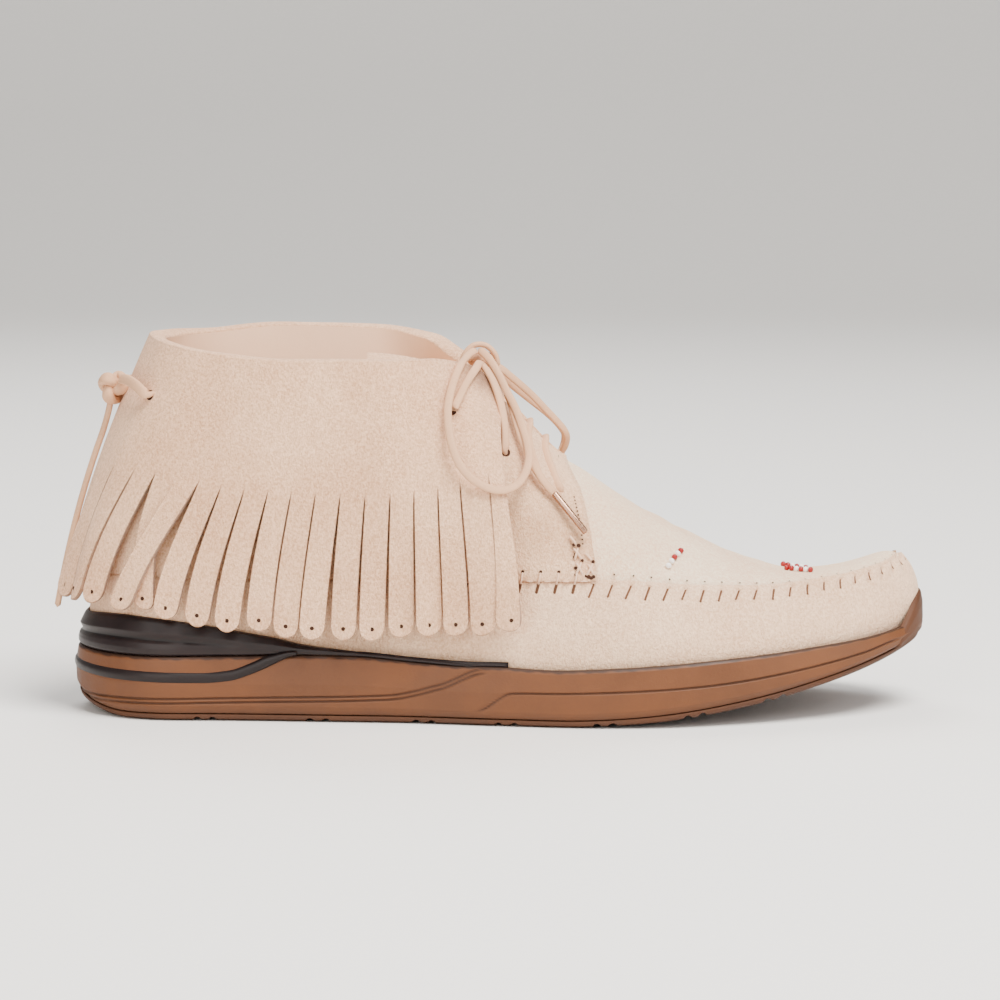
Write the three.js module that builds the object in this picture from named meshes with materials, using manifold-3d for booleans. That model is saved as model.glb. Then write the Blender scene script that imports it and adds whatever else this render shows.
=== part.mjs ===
// A fringed moccasin sneaker for the right foot: a suede moccasin upper with a fringed cuff, laced with
// leather thongs, on a moulded running sole with a hard heel stabiliser.
// Millimetres, +Z up, toe along +X, lateral side along -Y, floor at Z = 0.
import * as THREE from 'three';
import { LoftGeometry } from 'three/addons/geometries/LoftGeometry.js';
import { mergeVertices } from 'three/addons/utils/BufferGeometryUtils.js';
import Module from 'manifold-3d';

const wasm = await Module();
wasm.setup();

// Driving dimensions
const LENGTH = 292; // sole, back of the heel to the tip of the toe
const BALL_WIDTH = 104;
const WAIST_WIDTH = 77;
const HEEL_WIDTH = 75;
const TOE_WIDTH = 82; // a seventh of the length behind the tip
const HEEL_ROUND = 37; // length over which the plan closes at the heel
const TOE_ROUND = 52; // and at the toe
const COLLAR_HEIGHT = 125;
const HEEL_COLLAR_HEIGHT = 127;
const THROAT_HEIGHT = 87; // bottom of the lace opening
const VALLEY_HEIGHT = 46.8; // lowest point of the vamp, behind the toe
const SEAM_HEIGHT = 48.5; // moccasin seam along the sides
const RIM_HEIGHT = 19.5; // top edge of the midsole at heel and waist
const LEATHER = 1.8;
const GAP = 0.3; // left between separate pieces

// Where the shoe's own zero, the back of the heel, lies in the part's frame
const FRAME_SHIFT = { x: -144, y: 1.7 };

// Plan of the sole: share of the length, swing of the middle line to the medial side, half the width
const PLAN = [
  { along: 0, swing: 0, half: HEEL_WIDTH / 2 - 1 },
  { along: 0.16, swing: 0, half: HEEL_WIDTH / 2 },
  { along: 0.36, swing: -3.5, half: WAIST_WIDTH / 2 },
  { along: 0.5, swing: -4.5, half: WAIST_WIDTH / 2 + 6 },
  { along: 0.6, swing: -3.6, half: BALL_WIDTH / 2 - 2 },
  { along: 0.69, swing: -1.6, half: BALL_WIDTH / 2 },
  { along: 0.78, swing: 1, half: BALL_WIDTH / 2 - 3 },
  { along: 0.88, swing: 4, half: TOE_WIDTH / 2 + 2 },
  { along: 1, swing: 6.5, half: TOE_WIDTH / 2 - 2 },
];

// Height of the midsole's top edge, which rises with the toe spring
const RIM = [
  { along: 0, z: RIM_HEIGHT },
  { along: 0.52, z: RIM_HEIGHT - 0.4 },
  { along: 0.62, z: RIM_HEIGHT + 0.6 },
  { along: 0.73, z: RIM_HEIGHT + 2.6 },
  { along: 0.82, z: RIM_HEIGHT + 4.6 },
  { along: 0.9, z: RIM_HEIGHT + 6.8 },
  { along: 1, z: RIM_HEIGHT + 11 },
];

// Moccasin seam round the foot: inset from the sole's plan, height, how much lower the medial side is, and
// the slope in degrees of the side wall where it leaves the sole and where it meets the seam
const SEAM = [
  { along: 0, inset: 6.4, z: SEAM_HEIGHT, drop: 0, foot: 90, lean: 84 },
  { along: 0.3, inset: 5.4, z: SEAM_HEIGHT, drop: 0, foot: 92, lean: 86 },
  { along: 0.52, inset: 6.4, z: SEAM_HEIGHT + 0.4, drop: 0, foot: 97, lean: 80 },
  { along: 0.62, inset: 8.2, z: SEAM_HEIGHT + 0.4, drop: 0.8, foot: 100, lean: 72 },
  { along: 0.73, inset: 10.5, z: SEAM_HEIGHT - 1.9, drop: 4, foot: 102, lean: 66 },
  { along: 0.82, inset: 11, z: SEAM_HEIGHT - 2.9, drop: 6.4, foot: 102, lean: 66 },
  { along: 0.9, inset: 10, z: SEAM_HEIGHT - 1.3, drop: 6.4, foot: 102, lean: 70 },
  { along: 1, inset: 7, z: SEAM_HEIGHT + 3.5, drop: 0, foot: 101, lean: 78 },
];

// Top line of the upper, from the back of the collar along the lace opening to the ridge of the vamp.
// along: share of the length where a section starts at the seam; x, reach: where it ends; rise: how much
// higher the medial side is; from, to: its slope in degrees at the seam and at the end
const TOP_LINE = [
  { along: 0, x: 30, reach: 0, z: HEEL_COLLAR_HEIGHT, rise: 0, from: 78, to: 70 },
  { along: 0.03, x: 34, reach: 16, z: HEEL_COLLAR_HEIGHT - 0.8, rise: 0.6, from: 80, to: 74 },
  { along: 0.1, x: 47, reach: 28, z: COLLAR_HEIGHT - 0.6, rise: 2.4, from: 86, to: 84 },
  { along: 0.23, x: 74, reach: 35, z: COLLAR_HEIGHT - 2, rise: 4.5, from: 92, to: 90 },
  { along: 0.36, x: 104, reach: 34, z: COLLAR_HEIGHT - 2, rise: 4, from: 92, to: 86 },
  { along: 0.44, x: 121, reach: 27, z: COLLAR_HEIGHT - 3, rise: 2.4, from: 90, to: 72 },
  { along: 0.49, x: 132, reach: 16, z: COLLAR_HEIGHT - 7, rise: 0.6, from: 88, to: 48 },
  { along: 0.54, x: 148, reach: 9, z: COLLAR_HEIGHT - 20, rise: 0, from: 84, to: 24 },
  { along: 0.61, x: 166, reach: 2.5, z: THROAT_HEIGHT, rise: 0, from: 74, to: 6 },
  { along: 0.64, x: 174, reach: 0, z: THROAT_HEIGHT - 4.6, rise: 0, from: 66, to: 0 },
  { along: 0.69, x: 190, reach: 0, z: VALLEY_HEIGHT + 24.4, rise: 0, from: 54, to: 0 },
  { along: 0.76, x: 210, reach: 0, z: VALLEY_HEIGHT + 13, rise: 0, from: 38, to: 0 },
  { along: 0.83, x: 228, reach: 0, z: VALLEY_HEIGHT + 4.6, rise: 0, from: 22, to: 0 },
  { along: 0.9, x: 242, reach: 0, z: VALLEY_HEIGHT, rise: 0, from: 14, to: 0 },
  { along: 0.95, x: 252, reach: 0, z: VALLEY_HEIGHT + 0.8, rise: 0, from: 14, to: 0 },
  { along: 1, x: 262, reach: 0, z: VALLEY_HEIGHT + 2.4, rise: 0, from: 16, to: 0 },
];

// Tips of the fringe, from the back of the heel to the front edge of the cuff.
// along: share of the length of the cuff's section; x, reach, z: where the tips hang; from, to: the cuff's
// slope in degrees at the tips and at the collar
const FRINGE_TIPS = [
  { along: 0, x: -4.5, reach: 0, z: 40, from: 78, to: 66 },
  { along: 0.03, x: 0.5, reach: 19, z: 38.5, from: 80, to: 70 },
  { along: 0.1, x: 23, reach: 35, z: 36, from: 86, to: 78 },
  { along: 0.2, x: 54, reach: 42, z: 30.5, from: 90, to: 82 },
  { along: 0.32, x: 92, reach: 42.5, z: 29, from: 92, to: 82 },
  { along: 0.43, x: 124, reach: 43.5, z: 29.5, from: 96, to: 66 },
  { along: 0.48, x: 138, reach: 45, z: 30.5, from: 98, to: 40 },
  { along: 0.53, x: 153, reach: 47, z: 31.5, from: 98, to: 16 },
];

const SECTIONS = 44; // points round the plan, heel to toe to heel
const FINITE = 1e-4; // step of the numerical slopes

// A turn runs from 0 at the heel along the lateral side to 1 at the toe and back along the medial side to 2
const shareOf = (turn) => (1 - Math.cos(Math.PI * turn)) / 2;
const turnOf = (along) => Math.acos(1 - 2 * THREE.MathUtils.clamp(along, 0, 1)) / Math.PI;
const sideOf = (turn) => (((turn % 2) + 2) % 2 < 1 ? -1 : 1);
const steps = (from, to, count) =>
  Array.from({ length: count + 1 }, (_, i) => from + ((to - from) * i) / count);
const ROUND_TRIP = steps(0, 2, SECTIONS).slice(0, -1);

// Smooth reading of a table's column: a cubic through the rows that never overshoots them. It is level at
// both ends, except for a sideways reach, which crosses the middle line there
function read(table, column, along) {
  const last = table.length - 1;
  const places = table.map((entry) => turnOf(entry.along));
  const place = THREE.MathUtils.clamp(turnOf(along), places[0], places[last]);
  const row = Math.min(places.findLastIndex((start) => start <= place), last - 1);
  const slope = (i) => (table[i + 1][column] - table[i][column]) / (places[i + 1] - places[i]);
  const tangent = (i) => {
    if (i === 0) return column === 'reach' ? slope(0) : 0;
    if (i === last) return 0;
    const [before, after] = [slope(i - 1), slope(i)];
    return before * after <= 0 ? 0 : (2 * before * after) / (before + after);
  };
  const span = places[row + 1] - places[row];
  const s = (place - places[row]) / span;
  const [a, b] = [table[row][column], table[row + 1][column]];
  return (
    (1 + 2 * s) * (1 - s) ** 2 * a +
    s * (1 - s) ** 2 * span * tangent(row) +
    s * s * (3 - 2 * s) * b +
    s * s * (s - 1) * span * tangent(row + 1)
  );
}

function endRounding(x) {
  const closing = (distance, length) => Math.sqrt(1 - Math.max(0, 1 - distance / length) ** 2);
  return closing(x, HEEL_ROUND) * closing(LENGTH - x, TOE_ROUND);
}

function planPoint(turn) {
  const along = shareOf(turn);
  const half = read(PLAN, 'half', along) * endRounding(along * LENGTH);
  return new THREE.Vector3(along * LENGTH, read(PLAN, 'swing', along) + sideOf(turn) * half, 0);
}

// Outward direction of the plan
function planNormal(turn) {
  const tangent = planPoint(turn + FINITE).sub(planPoint(turn - FINITE));
  return new THREE.Vector3(tangent.y, -tangent.x, 0).normalize();
}

// A point of the plan moved outward and set at the height that its place along the shoe has
function ringPoint(turn, outward, height) {
  const point = planPoint(turn).addScaledVector(planNormal(turn), outward);
  return point.setZ(height(point.x));
}

// The middle line that closes a ring's top or bottom
const SPINE_HEEL = 34;
const SPINE_TOE = 250;
function spinePoint(turn, height) {
  const along = shareOf(turn);
  const x = SPINE_HEEL + (SPINE_TOE - SPINE_HEEL) * along;
  return new THREE.Vector3(x, read(PLAN, 'swing', along), height(x));
}

// Underside of the sole: a bevelled heel, flat from heel to ball, then a round toe spring
const HEEL_BEVEL = { length: 20, rise: 5 };
const SPRING = { start: 163, radius: 352 };
function underside(x) {
  const bevel = Math.max(0, 1 - x / HEEL_BEVEL.length) ** 2 * HEEL_BEVEL.rise;
  const spring = Math.max(0, x - SPRING.start) ** 2 / (2 * SPRING.radius);
  return bevel + spring;
}

const rim = (x) => read(RIM, 'z', x / LENGTH);

// Surfaces of the upper

function bezier(a, b, c, d, s) {
  const r = 1 - s;
  return new THREE.Vector3()
    .addScaledVector(a, r * r * r)
    .addScaledVector(b, 3 * r * r * s)
    .addScaledVector(c, 3 * r * s * s)
    .addScaledVector(d, s * s * s);
}

// A step of the given length from a point, inward and up at a slope in degrees
function stepIn(point, inward, slope, length) {
  const angle = THREE.MathUtils.degToRad(slope);
  return point
    .clone()
    .addScaledVector(inward, length * Math.cos(angle))
    .setZ(point.z + length * Math.sin(angle));
}

const HANDLE = 0.38; // length of a section's end tangents, as a share of its chord
function sweep(start, end, inward, from, to, s) {
  const length = HANDLE * start.distanceTo(end);
  return bezier(start, stepIn(start, inward, from, length), stepIn(end, inward, to, -length), end, s);
}

const FEATHER_INSET = 4.4; // foot of the upper's wall, inside the midsole's rim
const DISH = 1.5; // depth of the midsole's bed below its rim

function seamPoint(turn) {
  const along = shareOf(turn);
  const drop = sideOf(turn) > 0 ? read(SEAM, 'drop', along) : 0;
  return ringPoint(turn, -read(SEAM, 'inset', along), () => read(SEAM, 'z', along) - drop);
}

function topPoint(turn) {
  const along = shareOf(turn);
  const x = read(TOP_LINE, 'x', along);
  const side = sideOf(turn);
  const y = read(PLAN, 'swing', x / LENGTH) + side * read(TOP_LINE, 'reach', along);
  const z = read(TOP_LINE, 'z', along) + (side > 0 ? read(TOP_LINE, 'rise', along) : 0);
  return new THREE.Vector3(x, y, z);
}

// Side wall, from the sole (s = 0) to the moccasin seam (s = 1)
function wallSurface(turn, s) {
  const foot = ringPoint(turn, -FEATHER_INSET, (x) => rim(x) - DISH + GAP);
  const along = shareOf(turn);
  const from = read(SEAM, 'foot', along);
  const to = read(SEAM, 'lean', along);
  return sweep(foot, seamPoint(turn), planNormal(turn).negate(), from, to, s);
}

// Vamp and quarters, from the moccasin seam (s = 0) to the top line (s = 1)
function bodySurface(turn, s) {
  const along = shareOf(turn);
  const from = read(TOP_LINE, 'from', along);
  const to = read(TOP_LINE, 'to', along);
  return sweep(seamPoint(turn), topPoint(turn), planNormal(turn).negate(), from, to, s);
}

// A surface's point lifted along its outward normal
function lifted(surface, turn, s, lift) {
  const back = turn <= 1 ? FINITE : 0;
  const round = surface(turn + FINITE - back, s).sub(surface(turn - back, s));
  const up = surface(turn, s + FINITE).sub(surface(turn, s - FINITE));
  const normal = round.cross(up);
  const flat = normal.length() < FINITE * FINITE * FINITE;
  return surface(turn, s).addScaledVector(flat ? new THREE.Vector3(0, 0, 1) : normal.normalize(), lift);
}

// Closed section through a wall: up the inside, down the outside
function wallSection(surface, turn, heights, outside, inside) {
  const outer = heights.map((s) => lifted(surface, turn, s, outside));
  const inner = heights.map((s) => lifted(surface, turn, s, inside));
  return [...inner, ...outer.reverse()];
}

// Closed section over the foot: lateral seam, ridge, medial seam inside, and the same way back outside
function archSection(surface, turn, heights, outside, inside) {
  const over = (lift) => {
    const lateral = heights.map((s) => lifted(surface, turn, s, lift));
    const medial = heights.map((s) => lifted(surface, 2 - turn, s, lift));
    const ridge = lateral.pop().add(medial.pop()).multiplyScalar(0.5);
    return [...lateral, ridge, ...medial.reverse()];
  };
  return [...over(inside), ...over(outside).reverse()];
}

// Solids

function cleanMesh(geometry) {
  const bare = new THREE.BufferGeometry()
    .setAttribute('position', geometry.getAttribute('position'))
    .setIndex(geometry.index);
  const merged = mergeVertices(bare, 1e-4);
  const corners = merged.index.array;
  const triangles = [];
  for (let i = 0; i < corners.length; i += 3) {
    const [a, b, c] = corners.slice(i, i + 3);
    if (a !== b && b !== c && c !== a) triangles.push(a, b, c);
  }
  return { vertProperties: merged.getAttribute('position').array, triVerts: new Uint32Array(triangles) };
}

// A closed geometry as a solid, its faces turned outward
function solidOf(geometry) {
  const { vertProperties, triVerts } = cleanMesh(geometry);
  const made = new wasm.Manifold(new wasm.Mesh({ numProp: 3, vertProperties, triVerts }));
  if (made.volume() > 0) return made;
  const turned = new Uint32Array(triVerts.length);
  for (let i = 0; i < triVerts.length; i += 3) {
    turned.set([triVerts[i], triVerts[i + 2], triVerts[i + 1]], i);
  }
  return new wasm.Manifold(new wasm.Mesh({ numProp: 3, vertProperties, triVerts: turned }));
}

const loft = (sections) => solidOf(new LoftGeometry(sections));
const cappedLoft = (sections) => solidOf(new LoftGeometry(sections, { capStart: true, capEnd: true }));
const loopLoft = (sections) => loft([...sections, sections[0]]);
const joined = (...solids) => solids.reduce((whole, piece) => whole.add(piece));

function geometryOf(solid) {
  const { vertProperties, triVerts } = solid.getMesh();
  return new THREE.BufferGeometry()
    .setAttribute('position', new THREE.BufferAttribute(vertProperties, 3))
    .setIndex(new THREE.BufferAttribute(triVerts, 1));
}

// A body of stacked rings, closed along the middle line at both ends. Bodies that lie on each other stack
// the opposite way, so that their facets fall on the same lines
function ringStack(first, rings, last) {
  const closing = (height) => ROUND_TRIP.map((turn) => spinePoint(turn, height));
  const levels = rings.map(({ outward, height }) =>
    ROUND_TRIP.map((turn) => ringPoint(turn, outward, height)),
  );
  return loft([closing(first), ...levels, closing(last)]);
}

// A band that follows the plan. Its profile at a turn is a loop of points, each an outward reach and a
// height: low outside, low inside, high inside, and back down the outside
function planBand(turns, profile) {
  const section = (turn) => profile(turn).map(([outward, z]) => ringPoint(turn, outward, () => z));
  return cappedLoft(turns.map(section));
}

const materials = {
  suede: new THREE.MeshStandardMaterial({ color: 0xe3d3c4, roughness: 0.95 }),
  thong: new THREE.MeshStandardMaterial({ color: 0xd8c6b4, roughness: 0.7 }),
  foam: new THREE.MeshStandardMaterial({ color: 0xa06f48, roughness: 0.75 }),
  rubber: new THREE.MeshStandardMaterial({ color: 0x9a6a45, roughness: 0.8 }),
  moulding: new THREE.MeshStandardMaterial({ color: 0x453b3c, roughness: 0.3 }),
  lining: new THREE.MeshStandardMaterial({ color: 0xeee2d6, roughness: 0.9 }),
  metal: new THREE.MeshStandardMaterial({ color: 0xb99a86, roughness: 0.3, metalness: 1 }),
  beads: new THREE.MeshStandardMaterial({ color: 0xd02028, roughness: 0.25 }),
};

const shoe = new THREE.Group();
function add(name, material, solid) {
  const mesh = new THREE.Mesh(geometryOf(solid), materials[material]);
  mesh.name = name;
  shoe.add(mesh);
  return solid;
}

// Sole

const TREAD = 2.4; // thickness of the outsole under the foot
const BEVEL_INSET = -18; // a ring that carries the heel bevel and the toe spring inward

function makeTread() {
  const top = (x) => underside(x) + TREAD;
  return ringStack(
    underside,
    [
      { outward: BEVEL_INSET, height: underside },
      { outward: -4, height: underside },
      { outward: -1.6, height: (x) => underside(x) + 0.9 },
      { outward: -1.2, height: top },
      { outward: BEVEL_INSET, height: top },
    ],
    top,
  );
}

function makeMidsole() {
  const low = (x) => underside(x) + TREAD + GAP;
  const bed = (x) => rim(x) - DISH;
  return ringStack(
    bed,
    [
      { outward: -4, height: bed },
      { outward: -3.8, height: rim },
      { outward: -1.2, height: rim },
      { outward: -0.6, height: (x) => rim(x) - 1 },
      { outward: 0.3, height: (x) => (low(x) + rim(x)) / 2 },
      { outward: 0, height: (x) => low(x) + 3 },
      { outward: -1.2, height: low },
      { outward: BEVEL_INSET, height: low },
    ],
    low,
  );
}

// Toe bumper: the outsole wraps up over the tip of the toe
const BUMPER = { from: 0.88, height: 40, endHeight: 24 };
function makeBumper(grow) {
  const from = BUMPER.from - 0.02 * grow;
  return planBand(steps(from, 2 - from, 8), (turn) => {
    const x = shareOf(turn) * LENGTH;
    const open = (turn - 1) / (1 - BUMPER.from);
    const low = underside(x) + 0.4;
    const high = BUMPER.height - (BUMPER.height - BUMPER.endHeight) * open * open;
    const middle = (low + high) / 2;
    return [
      [-1.4 + 2 * grow, low - 4 * grow],
      [-4 - grow, low - 4 * grow],
      [-4 - grow, low],
      [-2.6 - grow, middle],
      [-2.8 - grow, high + 2 * grow],
      [-1.4 + 4 * grow, high + 2 * grow],
      [0.1 + 4 * grow, middle],
    ];
  });
}

// Tread: pairs of grooves across the outsole
const GROOVES = { first: 44, pitch: 34, pairs: 7, apart: 5.2, width: 2, depth: 1.5 };
function makeGrooves() {
  const cuts = [];
  for (let pair = 0; pair < GROOVES.pairs; pair += 1) {
    for (const side of [-0.5, 0.5]) {
      const x = GROOVES.first + pair * GROOVES.pitch + side * GROOVES.apart;
      const cut = new THREE.BoxGeometry(GROOVES.width, 2 * BALL_WIDTH, 2 * GROOVES.depth);
      cut.rotateY(-Math.atan2(underside(x + 1) - underside(x), 1));
      cut.translate(x, 0, underside(x));
      cuts.push(solidOf(cut));
    }
  }
  return joined(...cuts);
}

// Lines moulded into the midsole's side: one round the heel that climbs to the rim, one round the forefoot
const HEEL_LINE = [
  { along: 0, z: 6.4 },
  { along: 0.24, z: 5.6 },
  { along: 0.36, z: 7.8 },
  { along: 0.42, z: 10.6 },
  { along: 0.5, z: 17.6 },
];
const TOE_LINE = [
  { along: 0.48, z: 4.2 },
  { along: 0.53, z: 9 },
  { along: 0.62, z: 10.4 },
  { along: 0.735, z: 12.8 },
  { along: 0.825, z: 15.8 },
  { along: 0.9, z: 19.8 },
  { along: 0.97, z: 26 },
];
const LINE = { half: 0.8, depth: 0.9 };
function makeLine(turns, table) {
  return planBand(turns, (turn) => {
    const z = read(table, 'z', shareOf(turn));
    return [
      [3, z - 2 * LINE.half],
      [-LINE.depth, z - LINE.half],
      [-LINE.depth, z + LINE.half],
      [3, z + 2 * LINE.half],
    ];
  });
}

// Heel stabiliser: a hard cup round the heel with an arm along each side, and a lower band let into the
// midsole that rises to meet the arms
const CUP = [
  { along: 0, z: 33.5 },
  { along: 0.05, z: 35 },
  { along: 0.1, z: 34.4 },
  { along: 0.23, z: 28 },
  { along: 0.3, z: 25 },
  { along: 0.4, z: 22.6 },
  { along: 0.552, z: 20.8 },
];
const CUP_LEVELS = [
  { share: 0, outward: -0.8, thickness: 1.6 },
  { share: 0.2, outward: -1.4, thickness: 1.6 },
  { share: 0.5, outward: -0.9, thickness: 1.6 },
  { share: 1, outward: -2.3, thickness: 1.4 },
];
const BAND = [
  { along: 0, z: 12.8 },
  { along: 0.17, z: 13.4 },
  { along: 0.22, z: 16 },
  { along: 0.27, z: 21.4 },
];
const BAND_HALF = 2.2;
const ARM_END = 12; // of the plan's sections, counted from the heel
const BAND_END = 8;
const END_CLEARANCE = 0.02; // of a turn, past the end of a piece that is let in
const heelTurns = (count) => steps((-2 * count) / SECTIONS, (2 * count) / SECTIONS, 2 * count);

function makeCup() {
  return planBand(heelTurns(ARM_END), (turn) => {
    const along = shareOf(turn);
    const low = rim(along * LENGTH) + GAP;
    const high = read(CUP, 'z', along);
    const outer = CUP_LEVELS.map(({ share, outward }) => [outward, low + share * (high - low)]);
    const inner = CUP_LEVELS.map(({ share, outward, thickness }) => [
      outward - thickness,
      low + share * (high - low),
    ]);
    return [outer[0], inner[0], inner.at(-1), ...outer.slice(1).reverse()];
  });
}

function makeBand(grow) {
  const turns = heelTurns(BAND_END);
  if (grow > 0) turns.push(turns.at(-1) + END_CLEARANCE);
  if (grow > 0) turns.unshift(turns[0] - END_CLEARANCE);
  return planBand(turns, (turn) => {
    const z = read(BAND, 'z', shareOf(turn));
    const half = BAND_HALF + grow;
    return [
      [0.5 + 4 * grow, z - half],
      [-2.4 - grow, z - half],
      [-2.4 - grow, z + half],
      [0.5 + 4 * grow, z + half],
    ];
  });
}

const heelLine = makeLine(heelTurns(12), HEEL_LINE);
const toeTurns = steps(turnOf(0.48), turnOf(0.968), 12);
const medialToeTurns = toeTurns.map((turn) => 2 - turn).reverse();
const toeLines = [toeTurns, medialToeTurns].map((turns) => makeLine(turns, TOE_LINE));

add('outsole', 'rubber', joined(makeTread(), makeBumper(0)).subtract(makeGrooves()));
add(
  'midsole',
  'foam',
  makeMidsole().subtract(joined(makeBumper(GAP), makeBand(GAP), heelLine, ...toeLines)),
);
add('heel_stabiliser', 'moulding', joined(makeCup(), makeBand(0)));

// Insole

const INSOLE_THICKNESS = 4;
function makeInsole() {
  const low = (x) => rim(x) - DISH + 1.5 * GAP;
  const high = (x) => low(x) + INSOLE_THICKNESS;
  const outward = -FEATHER_INSET - LEATHER - 2 * GAP;
  return ringStack(low, [{ outward, height: low }, { outward, height: high }], high);
}

add('insole', 'lining', makeInsole());

// Upper: side wall, vamp and quarters joined at a raised moccasin seam

const QUARTER = { outside: 1.2, inside: -1.4, front: 0.625 };
const VAMP_BACK = 0.6; // the vamp starts under the quarters
const SEAM_BEAD = { across: 2.6, proud: 1.1, depth: 2.4 };

function seamSection(turn) {
  const up = seamPoint(turn).sub(wallSurface(turn, 0.9)).normalize();
  const out = up.clone().cross(planNormal(turn)).cross(up).negate().normalize();
  const at = (along, across) =>
    seamPoint(turn).addScaledVector(up, along * SEAM_BEAD.across).addScaledVector(out, across);
  return [
    at(-1, -0.6),
    at(-0.6, SEAM_BEAD.proud),
    at(0.6, SEAM_BEAD.proud),
    at(1, -0.6),
    at(0.9, -SEAM_BEAD.depth),
    at(-0.9, -SEAM_BEAD.depth),
  ];
}

function makeUpper() {
  const rows = [0, 0.4, 1.04];
  const wall = loopLoft(ROUND_TRIP.map((turn) => wallSection(wallSurface, turn, rows, 0, -LEATHER)));
  const bead = loopLoft(ROUND_TRIP.map(seamSection));
  const vampTurns = steps(turnOf(VAMP_BACK), 1, 14);
  const vampRows = [-0.02, 0.22, 0.46, 0.72, 1];
  const vamp = solidOf(
    new LoftGeometry(
      vampTurns.map((turn) => archSection(bodySurface, turn, vampRows, 0, -LEATHER)),
      { capStart: true },
    ),
  );
  const front = turnOf(QUARTER.front);
  const quarterTurns = steps(-front, front, 34);
  const quarterRows = [-0.01, 0.25, 0.5, 0.75, 1];
  const quarters = cappedLoft(
    quarterTurns.map((turn) =>
      wallSection(bodySurface, turn < 0 ? turn + 2 : turn, quarterRows, QUARTER.outside, QUARTER.inside),
    ),
  );
  return joined(wall, bead, vamp, quarters);
}

add('upper', 'suede', makeUpper());

// Tongue: follows the underside of the quarters, then lies back into the collar
const TONGUE = { lift: -3.2, thickness: 1.8, from: 0.485, to: 0.645 };
const TONGUE_BACK = [
  { back: 28, up: 4.5 },
  { back: 18, up: 4.2 },
  { back: 8, up: 2.4 },
];
function makeTongue() {
  const rows = [0.76, 0.86, 0.94, 1];
  const inside = TONGUE.lift - TONGUE.thickness;
  const sections = steps(turnOf(TONGUE.from), turnOf(TONGUE.to), 7).map((turn) =>
    archSection(bodySurface, turn, rows, TONGUE.lift, inside),
  );
  const laidBack = TONGUE_BACK.map(({ back, up }) =>
    sections[0].map((point) => point.clone().add(new THREE.Vector3(-back, 0, up))),
  );
  return cappedLoft([...laidBack, ...sections]);
}

add('tongue', 'suede', makeTongue());

// Fringed cuff: turned down from the collar, slit into strips with round tips

const CUFF = 1.5; // thickness
const CUFF_FRONT = 0.53;
const CUFF_LIFT = QUARTER.outside + 1.7 + CUFF; // of its outer face, at the collar
const SLIT = 0.54; // how far up from the tips the slits reach
const STRIPS = 38;
const STRIP_GAP = 0.9;

function cuffSurface(turn, s) {
  const along = shareOf(turn);
  const x = read(FRINGE_TIPS, 'x', along);
  const y = read(PLAN, 'swing', x / LENGTH) + sideOf(turn) * read(FRINGE_TIPS, 'reach', along);
  const tip = new THREE.Vector3(x, y, read(FRINGE_TIPS, 'z', along));
  const collar = lifted(bodySurface, turn, 1, CUFF_LIFT);
  const from = read(FRINGE_TIPS, 'from', along);
  const to = read(FRINGE_TIPS, 'to', along);
  return sweep(tip, collar, planNormal(turn).negate(), from, to, s);
}

// Turns that cut the line of the tips into equal lengths
function evenTurns(count) {
  const front = turnOf(CUFF_FRONT);
  const fine = steps(-front, front, 8 * count);
  const reached = [0];
  for (let i = 1; i < fine.length; i += 1) {
    reached.push(reached[i - 1] + cuffSurface(fine[i], 0).distanceTo(cuffSurface(fine[i - 1], 0)));
  }
  const length = reached.at(-1);
  const turns = steps(0, length, count).map((goal) => {
    const i = Math.max(1, reached.findIndex((value) => value >= goal - 1e-6));
    const share = (goal - reached[i - 1]) / (reached[i] - reached[i - 1]);
    return THREE.MathUtils.lerp(fine[i - 1], fine[i], share);
  });
  return { turns, width: length / count };
}

const STRIP_STATIONS = [
  { s: 0, share: 0.35 },
  { s: 0.012, share: 0.75 },
  { s: 0.045, share: 1 },
  { s: 0.3, share: 1 },
  { s: SLIT + 0.02, share: 1 },
];
function makeStrip(start, end, gapShare) {
  const middle = (start + end) / 2;
  const half = ((end - start) / 2) * (1 - gapShare);
  const sections = STRIP_STATIONS.map(({ s, share }) => {
    const [left, right] = [middle - half * share, middle + half * share];
    const [outside, inside] = [-0.1, 0.1 - CUFF];
    return [
      lifted(cuffSurface, left, s, outside),
      lifted(cuffSurface, right, s, outside),
      lifted(cuffSurface, right, s, inside),
      lifted(cuffSurface, left, s, inside),
    ];
  });
  return cappedLoft(sections);
}

function makeCuff() {
  const { turns, width } = evenTurns(STRIPS);
  const rows = [SLIT, 0.7, 0.85, 1];
  const band = cappedLoft(turns.map((turn) => wallSection(cuffSurface, turn, rows, 0, -CUFF)));
  const strips = turns.slice(1).map((turn, i) => makeStrip(turns[i], turn, STRIP_GAP / width));
  return joined(band, ...strips);
}

add('fringe_cuff', 'suede', makeCuff());

// Lacing: flat thong bars over the throat, and a bow at the top of the tongue

const BARS = [
  { name: 'lace_bar_middle', along: 0.567, rows: [0.84, 0.92, 1], lift: QUARTER.outside },
  { name: 'lace_bar_low', along: 0.588, rows: [0.84, 0.92, 1], lift: QUARTER.outside + 0.9 },
];
const BAR = { half: 0.0042, thickness: 1.6, clearance: 0.6 }; // half its width, in turns

function makeBar({ along, rows, lift }) {
  const middle = turnOf(along);
  const low = lift + BAR.clearance;
  const section = (mirrored, s) => {
    const turn = (offset) => (mirrored ? 2 - (middle + offset) : middle + offset);
    const at = (offset, height) => lifted(bodySurface, turn(offset), s, height);
    return [
      at(-BAR.half, low),
      at(-BAR.half, low + BAR.thickness),
      at(BAR.half, low + BAR.thickness),
      at(BAR.half, low),
    ];
  };
  const lateral = rows.map((s) => section(false, s));
  const medial = rows.map((s) => section(true, s));
  return cappedLoft([...lateral, ...medial.reverse()]);
}

for (const bar of BARS) add(bar.name, 'thong', makeBar(bar));

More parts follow.
